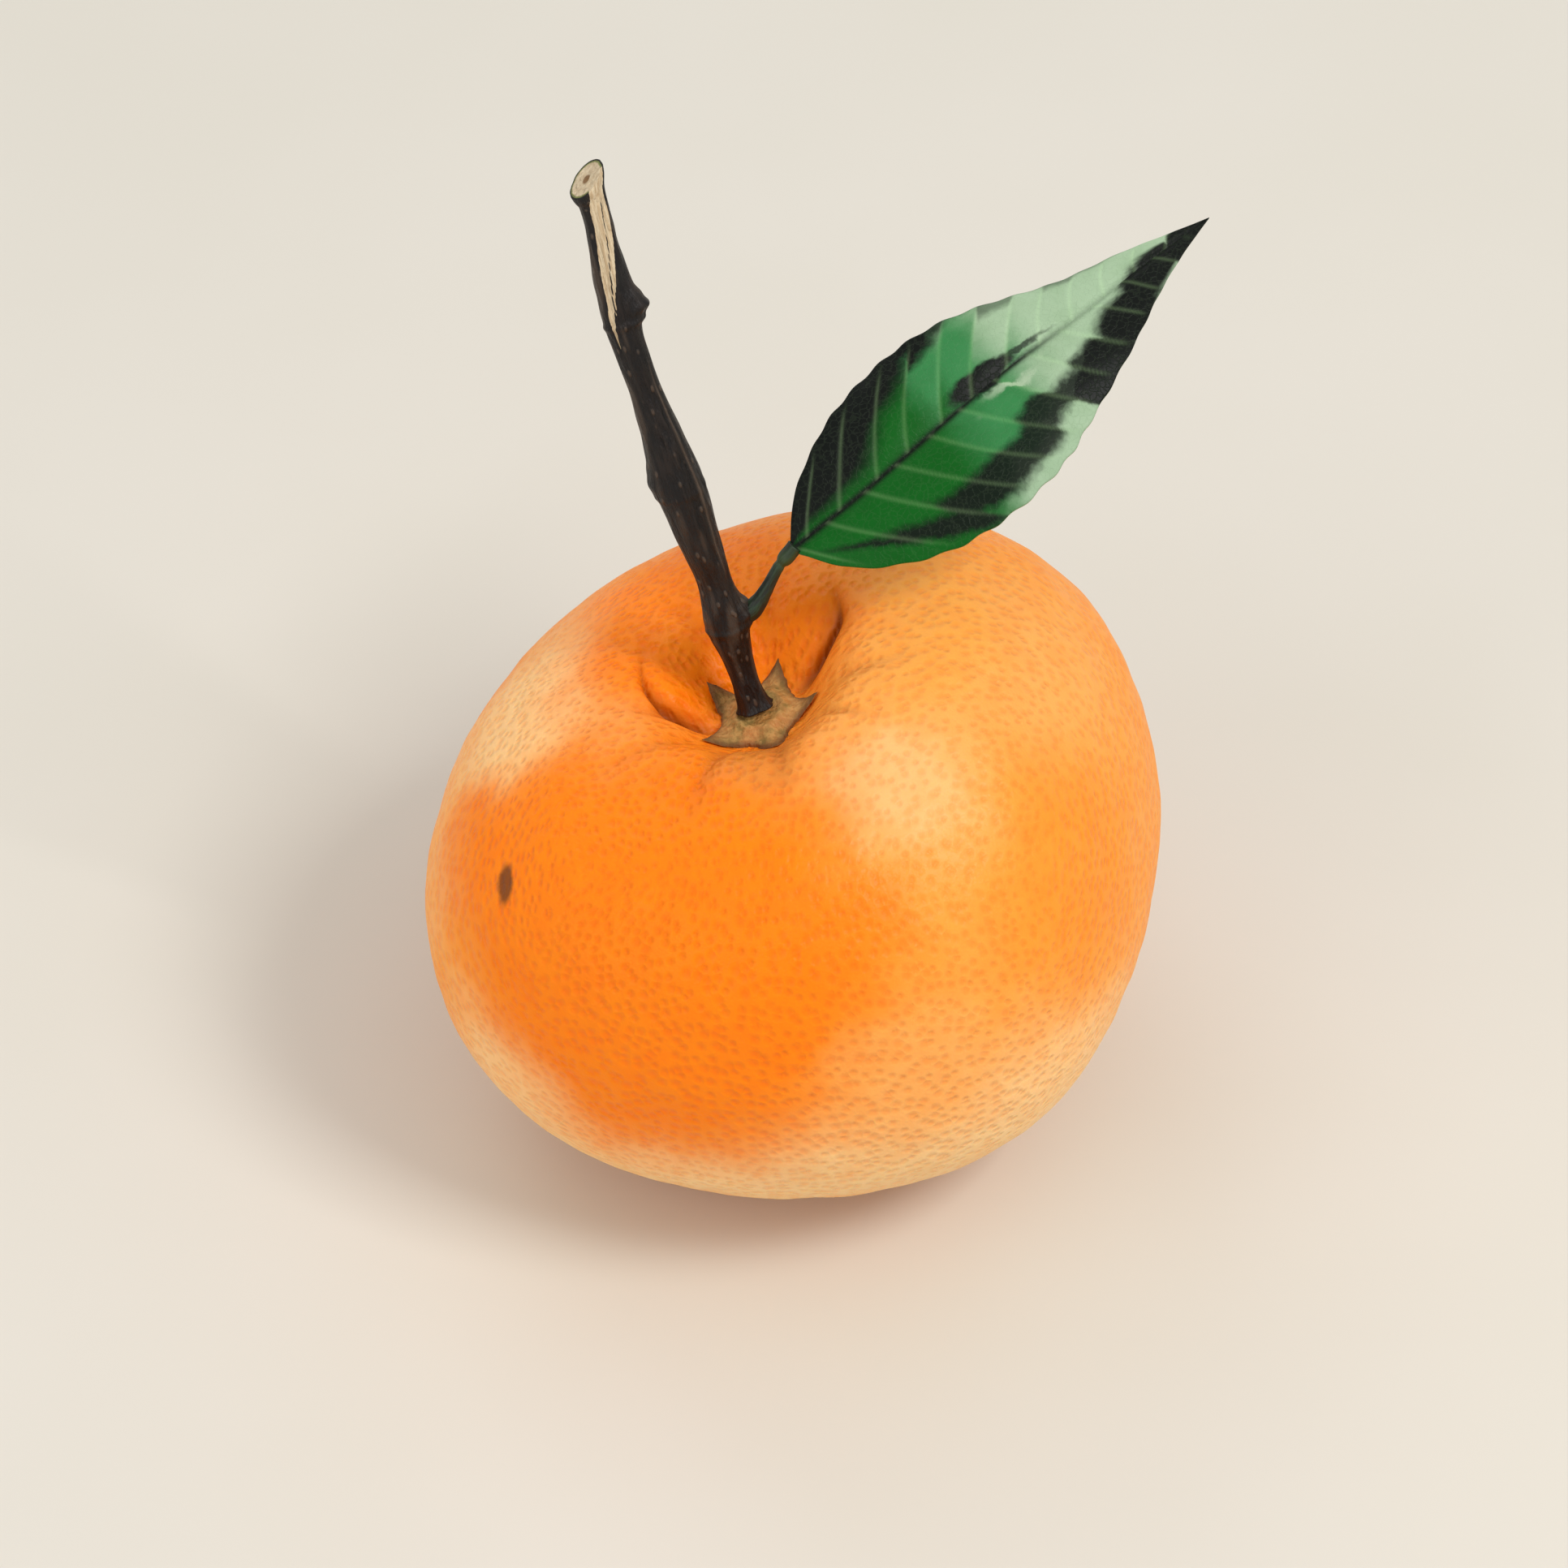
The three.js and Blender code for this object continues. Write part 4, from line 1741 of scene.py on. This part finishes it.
@dataclass
class Twig(Rod):
    """The woody twig, from its flared foot in the calyx to its torn and slanting cut end."""

    name: str = "twig_bark"
    node: str = "twig"
    slot: str = "bark"
    stations: tuple[Station, ...] = (
        (-1.4, -1.45, 47.88, 1.4),
        (-2.6, -0.3, 51.2, 1.3),
        (-3.8, 0.8, 55.9, 1.95),
        (-4.9, 1.5, 60.2, 1.55),
        (-6.5, 2.4, 65.3, 1.95),
        (-7.9, 3.4, 69.8, 2.2),
        (-9.3, 4.4, 74.2, 1.85),
        (-10.8, 5.6, 78.9, 1.4),
        (-12.3, 6.8, 83.5, 1.5),
        (-13.4, 8.1, 87.5, 1.6),
        (-14.4, 9.6, 92.3, 1.35),
        (-15.3, 10.9, 96.2, 1.25),
        (-16.2, 12.1, 99.3, 1.75),
    )
    buds: tuple[Bud, ...] = (
        Bud(0.18, -10, 0.9, 0.022),
        Bud(0.735, 0, 1.1, 0.028),
        Bud(0.44, 165, 0.45, 0.03),
    )
    grain: float = 0.16
    ridges: tuple[Lumps, Lumps] = (Lumps(0.13, 0.9, 1), Lumps(0.07, 0.4, 2))
    lumps: Lumps = Lumps(0.10, 2.2, 6)
    slant: float = 2.4
    slant_towards: float = 140
    slant_from: float = 0.9
    foot_sunk: float = 0.5  # how far the foot goes down into the calyx
    foot_share: float = 0.03  # share of the length that it is sunk over
    foot_flare: float = 0.45
    foot_height: float = 1.0
    flutes: int = 5  # round the foot
    flute_depth: float = 0.2
    flute_height: float = 3.5
    crest_from: Pair = (0.1, 0.5)  # how high a ridge is, as a share, where its crest is worn
    crest_wear: float = 0.5
    line_at: float = 35.0  # the way that the long worn line faces, in degrees
    line_width: float = 4.0
    line_wear: float = 0.9
    line_start: Pair = (0.24, 0.3)
    line_end: Pair = (0.66, 0.58)
    bark_thickness: float = 0.2
    tear_edge: Lumps = Lumps(5, 1.6, 4)  # how the edge of the tear wanders, in degrees
    tear_soft: Pair = (-3, 5)
    degrees_a_mm: float = 25.0  # round the twig, near enough for the edge of the tear
    strand_at: float = -9.0  # where in the tear a strand of bark is left, in degrees
    strand_width: float = 3.2
    strand_share: float = 0.9
    strand_end: Pair = (1.0, 0.9)  # shares of the length that it fades over
    tear: tuple[Triple, ...] = (
        (0.655, 124, 0),
        (0.71, 116, 9),
        (0.77, 100, 22),
        (0.85, 76, 40),
        (0.92, 60, 42),
        (1.0, 48, 42),
    )  # share of the length, the way the torn place faces, and half its width in degrees

    def bare(self, spot: RodSpot) -> float:
        """Finds how bare of bark the twig is.

        Args:
            spot: The spot.

        Returns:
            From 0 under whole bark to 1 on bare wood.
        """
        along = spot.along
        if along <= self.tear[0][0]:
            return 0.0
        for (start, near, slim), (end, far, wide) in zip(self.tear, self.tear[1:]):
            if along <= end:
                part = (along - start) / (end - start)
                facing = near + (far - near) * part
                half = slim + (wide - slim) * part
                break
        flat = Vector((spot.turn / self.degrees_a_mm, spot.plain.z, 0))
        offset = wrapped(spot.turn - facing) + self.tear_edge.at(flat)
        strand = hill(offset - self.strand_at, self.strand_width) * ease(along, *self.strand_end)
        return ease(half - abs(offset), *self.tear_soft) * (1 - self.strand_share * strand)

    def relief(self, spot: RodSpot) -> float:
        """Roughens the bark, raises the buds, flutes the foot and takes the torn bark away.

        Args:
            spot: The spot.

        Returns:
            How far the surface stands out, in millimetres.
        """
        stretched = self.stretched(spot)
        height = spot.plain.z
        out = sum(ridge.at(stretched) for ridge in self.ridges) + self.lumps.at(spot.plain)
        out += self.foot_flare * math.exp(-height / self.foot_height) ** 2
        flute = abs(math.cos(math.radians(self.flutes / 2 * spot.turn))) ** 3
        out -= self.flute_depth * math.exp(-height / self.flute_height) * flute
        for bud in self.buds:
            out += bud.swelling(spot.along, spot.turn)
            out += bud.ring(spot.along)
        return out - self.bark_thickness * self.bare(spot)

    def slide(self, spot: RodSpot) -> float:
        """Slants the cut end and sinks the foot into the calyx.

        Args:
            spot: The spot.

        Returns:
            How far it moves towards the cut end, in millimetres.
        """
        near = ease(spot.along, self.slant_from, 1)
        facing = spot.across * math.cos(math.radians(spot.turn - self.slant_towards))
        sunk = self.foot_sunk * ease(spot.along, self.foot_share, 0)
        return -near * self.slant * 0.5 * (1 + facing) - sunk

    def marks(self, spot: RodSpot) -> dict[Mark, float]:
        """Marks the bare wood, the cut end, and the worn crests of the bark.

        Args:
            spot: The spot.

        Returns:
            How bare it is, its share of the radius on the cut end, and how worn it is.
        """
        along, coarse = spot.along, self.ridges[0]
        crest = rough(self.stretched(spot), coarse.wavelength, coarse.seed)
        worn = ease(crest, *self.crest_from) * self.crest_wear
        line = self.line_wear * hill(wrapped(spot.turn - self.line_at), self.line_width)
        worn += line * ease(along, *self.line_start) * ease(along, *self.line_end)
        return {
            Mark.BARE: self.bare(spot),
            Mark.CUT: spot.across if along > ROD_END else OFF_THE_CUT,
            Mark.RAISED: worn,
        }

    def finish(self) -> bpy.types.Material:
        """Makes the twig's material."""
        return BarkFinish().material()


@dataclass
class LeafStalk(Rod):
    """The leaf's stalk, from the twig's lowest swelling to the joint where the blade begins."""

    name: str = "leaf_stem"
    node: str = "leaf_stalk"
    slot: str = "leaf_stalk"
    stations: tuple[Station, ...] = (
        (-3.0, 0.8, 56.5, 0.9),
        (-1.55, 1.1, 57.1, 0.95),
        (-0.35, 1.6, 58.8, 0.66),
        (0.75, 2.25, 61.0, 0.55),
        (1.9, 2.9, 62.4, 0.75),
    )
    sides: int = 40
    rings: int = 90
    end_rings: int = 4
    grain: float = 0.25
    ridges: Lumps = Lumps(0.05, 0.5, 1)
    lumps: Lumps = Lumps(0.03, 0.9, 2)
    nose: float = 0.75  # how far its end reaches under the blade
    nose_from: float = 0.85  # share of the length where that reach starts
    groove: float = 0.16
    groove_at: float = -60.0  # the way that the groove faces, in degrees
    foot: Band = Band(0, 0.12, 0.12)
    neck: Band = Band(0.82, 0.03, -0.10)
    joint: Band = Band(0.9, 0.05, 0.10)
    joint_pale: Band = Band(0.86, 0.07, 0.7)  # how pale the joint is, from 0 to 1

    def relief(self, spot: RodSpot) -> float:
        """Grooves the upper side, and swells the foot and the joint.

        Args:
            spot: The spot.

        Returns:
            How far the surface stands out, in millimetres.
        """
        along = spot.along
        upper = max(0.0, math.cos(math.radians(spot.turn - self.groove_at)))
        out = self.ridges.at(self.stretched(spot)) + self.lumps.at(spot.plain)
        out -= self.groove * upper**6 * math.sin(math.pi * along)
        out += self.joint.at(along) + self.neck.at(along)
        return out + self.foot.at(along)

    def slide(self, spot: RodSpot) -> float:
        """Carries the end under the blade."""
        return self.nose * ease(spot.along, self.nose_from, 1)

    def marks(self, spot: RodSpot) -> dict[Mark, float]:
        """Marks the joint below the blade."""
        return {Mark.JOINT: self.joint_pale.at(spot.along)}

    def finish(self) -> bpy.types.Material:
        """Makes the stalk's material."""
        return StalkFinish().material()


@dataclass(frozen=True)
class LeafSpot:
    """A point of the flat blade, with what the blade's outline and veins say there."""

    along: float  # share of the length
    out: float  # share of the half width, positive on the upper half
    top: bool  # whether it is on the upper side
    share: float  # of the full width that the blade has there
    half: float  # half width there, in millimetres
    steps: float  # side veins between the stalk and it, whole on a vein

    @property
    def size(self) -> float:
        """The share of the half width, the same on both halves."""
        return abs(self.out)

    @property
    def upper(self) -> bool:
        """Whether it is on the half above the midrib."""
        return self.out > 0

    @property
    def off_vein(self) -> float:
        """How far it is from a side vein: 0 on one, and 1 halfway between two."""
        return 2 * abs(self.steps - round(self.steps))


@dataclass
class LeafBlade(Piece):
    """The blade, a thin sheet laid along its midrib, folded, cupped and rippled."""

    name: str = "leaf"
    node: str = "leaf_blade"
    slot: str = "leaf"
    midrib: tuple[Triple, ...] = (
        (2.3, 3.1, 62.75),
        (8.6, 6.4, 66.6),
        (15.7, 11.1, 70.6),
        (22.0, 15.9, 73.4),
        (28.3, 20.7, 75.3),
        (33.6, 25.6, 76.6),
        (40.3, 31.7, 77.7),
    )
    outline: tuple[Pair, ...] = (
        (0, 0.07),
        (0.05, 0.4),
        (0.12, 0.66),
        (0.22, 0.89),
        (0.34, 1.0),
        (0.45, 0.95),
        (0.57, 0.76),
        (0.7, 0.5),
        (0.8, 0.31),
        (0.88, 0.17),
        (0.94, 0.08),
        (1, 0.002),
    )  # share of the length, and share of the half width there
    facing: Triple = (-0.1, -0.5, 0.86)  # the way that the upper side faces
    upper_half: float = 8.6  # half width above the midrib, and below it
    lower_half: float = 10.9
    least_half: float = 0.02
    waist: float = 0.14  # how much narrower the upper half is towards the tip
    waist_at: float = 0.62
    waist_spread: float = 0.24
    teeth: float = 0.012  # how much the fine waves of the edge widen it, as a share
    teeth_pace: float = 95.0
    teeth_from: float = 0.8  # share of the half width where they start
    thickness: float = 0.42
    thinner: float = 0.35  # how much thinner the edge is, as a share
    tip_thin: Pair = (1.03, 0.9)  # shares of the length that it thins over towards the tip
    fold: float = 0.2
    cup: float = 0.17
    ripple: float = 0.55
    ripples: float = 2.5
    ripple_lag: float = 2.0
    lumps: Lumps = Lumps(0.08, 5, 2)
    rib_width: Pair = (0.75, 0.5)  # of the midrib by the stalk, and how much it loses by the tip
    rib_shade_line: Pair = (0.42, 0.25)  # the same for the dark line along it: the midrib's dark green, and painted shade in its groove
    rib_shade_end: float = 0.85  # share of the length where that line starts to fade
    rib_groove: float = 0.16  # depth of the midrib's groove on the upper side
    rib_groove_end: float = 0.8
    rib_height: float = 0.42  # of the midrib on the underside, by the stalk
    rib_loss: float = 0.8  # share of that height that it loses by the tip
    vein_gap: float = 0.078  # between one side vein and the next, as a share of the length
    vein_lean: Pair = (0.11, 0.05)  # how far a side vein runs forward, straight and curving
    vein_stagger: float = 0.03  # how much further on the upper half's veins start
    vein_wander: Pair = (0.12, 9)  # in gaps, and how close together its turns are
    vein_width: float = 0.17
    vein_out: Pair = (1.0, 0.75)  # shares of the half width that a side vein fades over
    vein_end: Pair = (0.97, 0.85)  # shares of the length that they all fade over
    vein_slope: float = 0.75  # a gap across the veins, as a share of that gap along the midrib
    vein_depth: float = 0.05
    vein_height: float = 0.04  # more than that depth, on the underside
    quilt: float = 0.10  # how far the blade rises between two side veins
    quilt_from: Pair = (0, 0.25)  # shares of the half width that it rises over, and then falls
    quilt_to: Pair = (1, 0.75)
    sector_blend: float = 0.09  # half of a vein's width, as a share of that gap
    steps: int = 300
    strips: int = 120

    @cached_property
    def route(self) -> Route:
        """The route along the midrib."""
        return Route(self.midrib)

    @cached_property
    def edge(self) -> Route:
        """The route round the outline, as shares of the length and of the half width."""
        return Route(self.outline)

    def vein(self, along: float, out: float, share: float) -> float:
        """Counts the side veins from the stalk to a point.

        Args:
            along: Share of the length.
            out: Share of the half width, positive on the upper half.
            share: Share of the full width that the blade has there.

        Returns:
            The number of veins, whole on a vein.
        """
        size = abs(out)
        straight, curving = self.vein_lean
        lean = (straight * size + curving * size**2) * share
        start = along - lean - (self.vein_stagger if out > 0 else 0.0)
        wander, pace = self.vein_wander
        return start / self.vein_gap + wander * noise.noise(Vector((start * pace, out, 0)))

    def half_width(self, along: float, share: float, out: float) -> float:
        """Finds how wide one half of the blade is.

        Args:
            along: Share of the length.
            share: Share of the full width that the blade has there.
            out: Share of the half width, positive on the upper half.

        Returns:
            The half width, in millimetres.
        """
        full = self.upper_half if out > 0 else self.lower_half
        teeth = self.teeth * math.sin(along * self.teeth_pace + out)
        teeth *= ease(abs(out), self.teeth_from, 1)
        return max(self.least_half, share * full) * (1 + teeth)

    def spot(self, point: Vector) -> LeafSpot:
        """Reads the outline and counts the veins at a point of the flat sheet.

        Args:
            point: The point, as shares of the way along and out, and the side.

        Returns:
            The spot.
        """
        edge = self.edge.at(point.x)
        along, share, out = min(1.0, max(0.0, edge.x)), edge.y, point.y
        if out > 0:
            share *= 1 - self.waist * hill(along - self.waist_at, self.waist_spread)
        half = self.half_width(along, share, out)
        return LeafSpot(along, out, point.z > 0, share, half, self.vein(along, out, share))

    def veined(self, spot: LeafSpot) -> float:
        """Finds how much of a side vein there is at a spot.

        Args:
            spot: The spot.

        Returns:
            A share from 0 to 1.
        """
        gap = spot.off_vein * self.vein_gap * self.route.lengths[-1] / 2 * self.vein_slope
        fading = ease(spot.size, *self.vein_out)
        return hill(gap, self.vein_width) * fading * ease(spot.along, *self.vein_end)

    def midrib_share(self, spot: LeafSpot, width: Pair) -> float:
        """Finds how much of the midrib there is at a spot, from 0 to 1, for a width and its loss."""
        start, loss = width
        return hill(spot.half * spot.size, start - loss * spot.along)

    def side_height(self, spot: LeafSpot, veins: float) -> float:
        """Finds how far one side of the blade is from the middle of its thickness.

        Args:
            spot: The spot.
            veins: How much of a side vein there is, from 0 to 1.

        Returns:
            The height, which is below zero on the underside.
        """
        along = spot.along
        rib = self.midrib_share(spot, self.rib_width)
        thick = self.thickness * (1 - self.thinner * spot.size**2) * ease(along, *self.tip_thin)
        if spot.top:
            return thick / 2 - self.rib_groove * rib * ease(along, 1, self.rib_groove_end)
        ridge = self.rib_height * rib * (1 - self.rib_loss * along)
        return -(thick / 2 + ridge + self.vein_height * veins)

    def lift(self, spot: LeafSpot, veins: float) -> float:
        """Finds how far a spot stands off the flat sheet through the midrib.

        Args:
            spot: The spot.
            veins: How much of a side vein there is, from 0 to 1.

        Returns:
            The height, in millimetres.
        """
        size = spot.size
        lag = 0 if spot.upper else self.ripple_lag
        wave = math.sin(math.tau * self.ripples * spot.along + lag)
        quilt = (1 - (1 - min(1, spot.off_vein)) ** 2) * ease(size, *self.quilt_from)
        quilt = quilt * ease(size, *self.quilt_to) * spot.share
        full = self.upper_half if spot.upper else self.lower_half
        lift = spot.half * (self.fold * size - self.cup * size**2)
        lift += self.ripple * spot.share * wave * size**3
        lift += self.quilt * quilt - self.vein_depth * veins
        lift += self.side_height(spot, veins)
        return lift + self.lumps.at(Vector((spot.along * self.route.lengths[-1], spot.out * full, 0)))

    def sector(self, spot: LeafSpot) -> float:
        """Picks a number by chance for the field between two side veins.

        Args:
            spot: A spot in that field.

        Returns:
            The number, which changes smoothly from field to field within a vein's width.
        """
        nearest = round(spot.steps)
        before, after = (
            noise.cell(Vector((field_number + 0.5, 0.5 if spot.upper else 3.5, 0.5)))
            for field_number in (nearest - 1, nearest)
        )
        change = ease(spot.steps - nearest, -self.sector_blend, self.sector_blend)
        return before + (after - before) * change

    def shape(self) -> bmesh.types.BMesh:
        """Lays a flat sheet along the midrib.

        Returns:
            The blade's mesh.
        """
        skin = sheet(self.steps, self.strips)
        plain = skin.verts.layers.float_vector.new(PLAIN)
        marks = layers(skin, Mark.VEIN, Mark.RIB_LINE_SHADE, Mark.SECTOR)
        for vert in skin.verts:
            spot = self.spot(vert.co)
            veins = self.veined(spot)
            at = self.route.share_at(spot.along)
            heading = self.route.heading(at)
            up = Vector(self.facing)
            up = (up - heading * up.dot(heading)).normalized()
            side = up.cross(heading)
            line = self.midrib_share(spot, self.rib_shade_line) * ease(spot.along, 1, self.rib_shade_end)
            vert[plain] = Vector((spot.along, spot.out, 1 if spot.top else -1))
            vert[marks[Mark.VEIN]] = veins
            vert[marks[Mark.RIB_LINE_SHADE]] = line
            vert[marks[Mark.SECTOR]] = self.sector(spot)
            out = side * spot.half * spot.out
            vert.co = self.route.at(at) + out + up * self.lift(spot, veins)
        return skin

    def finish(self) -> bpy.types.Material:
        """Makes the blade's material."""
        return LeafFinish().material()


# ---------------- studio


@dataclass(frozen=True)
class Lamp:
    """A square, soft area light that looks at the fruit."""

    name: str
    at: Triple  # in metres
    size: float
    power: float  # in watts
    colour: Triple = (1, 1, 1)


@dataclass
class Studio:
    """The plain pale floor, the soft light and the camera, in metres."""

    floor_size: float = 6.0
    floor_squares: int = 8  # along each side of its mesh
    floor_drop: float = 0.00004  # below the flat spot, so that the two don't flicker
    sky: Colour = srgb(240, 238, 235)
    sky_strength: float = 0.76
    look_at: Triple = (0.00135, 0.0, 0.0362)
    distance: float = 0.6
    elevation: float = 44.0
    lens: float = 148.86  # in millimetres, as the sensor is
    sensor: float = 36.0
    clip: Pair = (0.01, 20.0)
    lamps: tuple[Lamp, ...] = (
        Lamp("key_light", (0.42, -0.28, 0.68), 0.24, 3.2, (1.0, 0.99, 0.97)),
        Lamp("fill_light", (-0.55, -0.45, 0.4), 0.6, 1.3),
        Lamp("back_light", (-0.3, 0.6, 0.6), 0.5, 0.9),
    )

    def build(self) -> None:
        """Makes the whole studio."""
        self.lay_floor()
        for lamp in self.lamps:
            self.hang(lamp)
        self.light_sky()
        self.set_camera()
        bpy.context.scene.view_settings.view_transform = "Standard"

    def lay_floor(self) -> None:
        """Lays the floor just under the flat spot."""
        board = bmesh.new()
        squares, half = self.floor_squares, self.floor_size / 2
        bmesh.ops.create_grid(board, x_segments=squares, y_segments=squares, size=half)
        bmesh.ops.translate(board, vec=(0, 0, -self.floor_drop), verts=board.verts)
        mesh = bpy.data.meshes.new("floor")
        board.to_mesh(mesh)
        board.free()
        mesh.materials.append(FloorFinish().material())
        floor = bpy.data.objects.new("floor", mesh)
        bpy.context.scene.collection.objects.link(floor)

    def aimed(self, thing: bpy.types.Object, at: Vector, target: Vector) -> None:
        """Places a light or a camera and turns it to its target.

        Args:
            thing: The light or the camera.
            at: Where it stands.
            target: What it looks at.
        """
        thing.location = at
        thing.rotation_euler = (target - at).to_track_quat("-Z", "Y").to_euler()
        bpy.context.scene.collection.objects.link(thing)

    def hang(self, lamp: Lamp) -> None:
        """Hangs one soft light.

        Args:
            lamp: The light.
        """
        light = bpy.data.lights.new(lamp.name, "AREA")
        light.shape = "SQUARE"
        light.size = lamp.size
        light.energy = lamp.power
        light.color = lamp.colour
        self.aimed(bpy.data.objects.new(lamp.name, light), Vector(lamp.at), Vector(self.look_at))

    def light_sky(self) -> None:
        """Surrounds everything with even pale light."""
        world = bpy.data.worlds.new("studio")
        world.use_nodes = True
        background = world.node_tree.nodes["Background"]
        background.inputs["Color"].default_value = self.sky
        background.inputs["Strength"].default_value = self.sky_strength
        bpy.context.scene.world = world

    def set_camera(self) -> None:
        """Sets the camera in front of the fruit, looking down at it."""
        camera = bpy.data.cameras.new("camera")
        camera.sensor_width = self.sensor
        camera.lens = self.lens
        camera.clip_start, camera.clip_end = self.clip
        rise = math.radians(self.elevation)
        target = Vector(self.look_at)
        back = Vector((0, -math.cos(rise), math.sin(rise)))
        holder = bpy.data.objects.new("camera", camera)
        self.aimed(holder, target + back * self.distance, target)
        bpy.context.scene.camera = holder


# ---------------- mandarin


def main() -> None:
    """Builds the mandarin piece by piece, and then the studio round it."""
    logging.basicConfig(level=logging.INFO, format="%(name)s: %(message)s")
    fruit = Fruit()
    for piece in (fruit, Calyx(fruit=fruit), Twig(), LeafStalk(), LeafBlade()):
        piece.build()
    Studio().build()


if __name__ == "__main__":
    main()
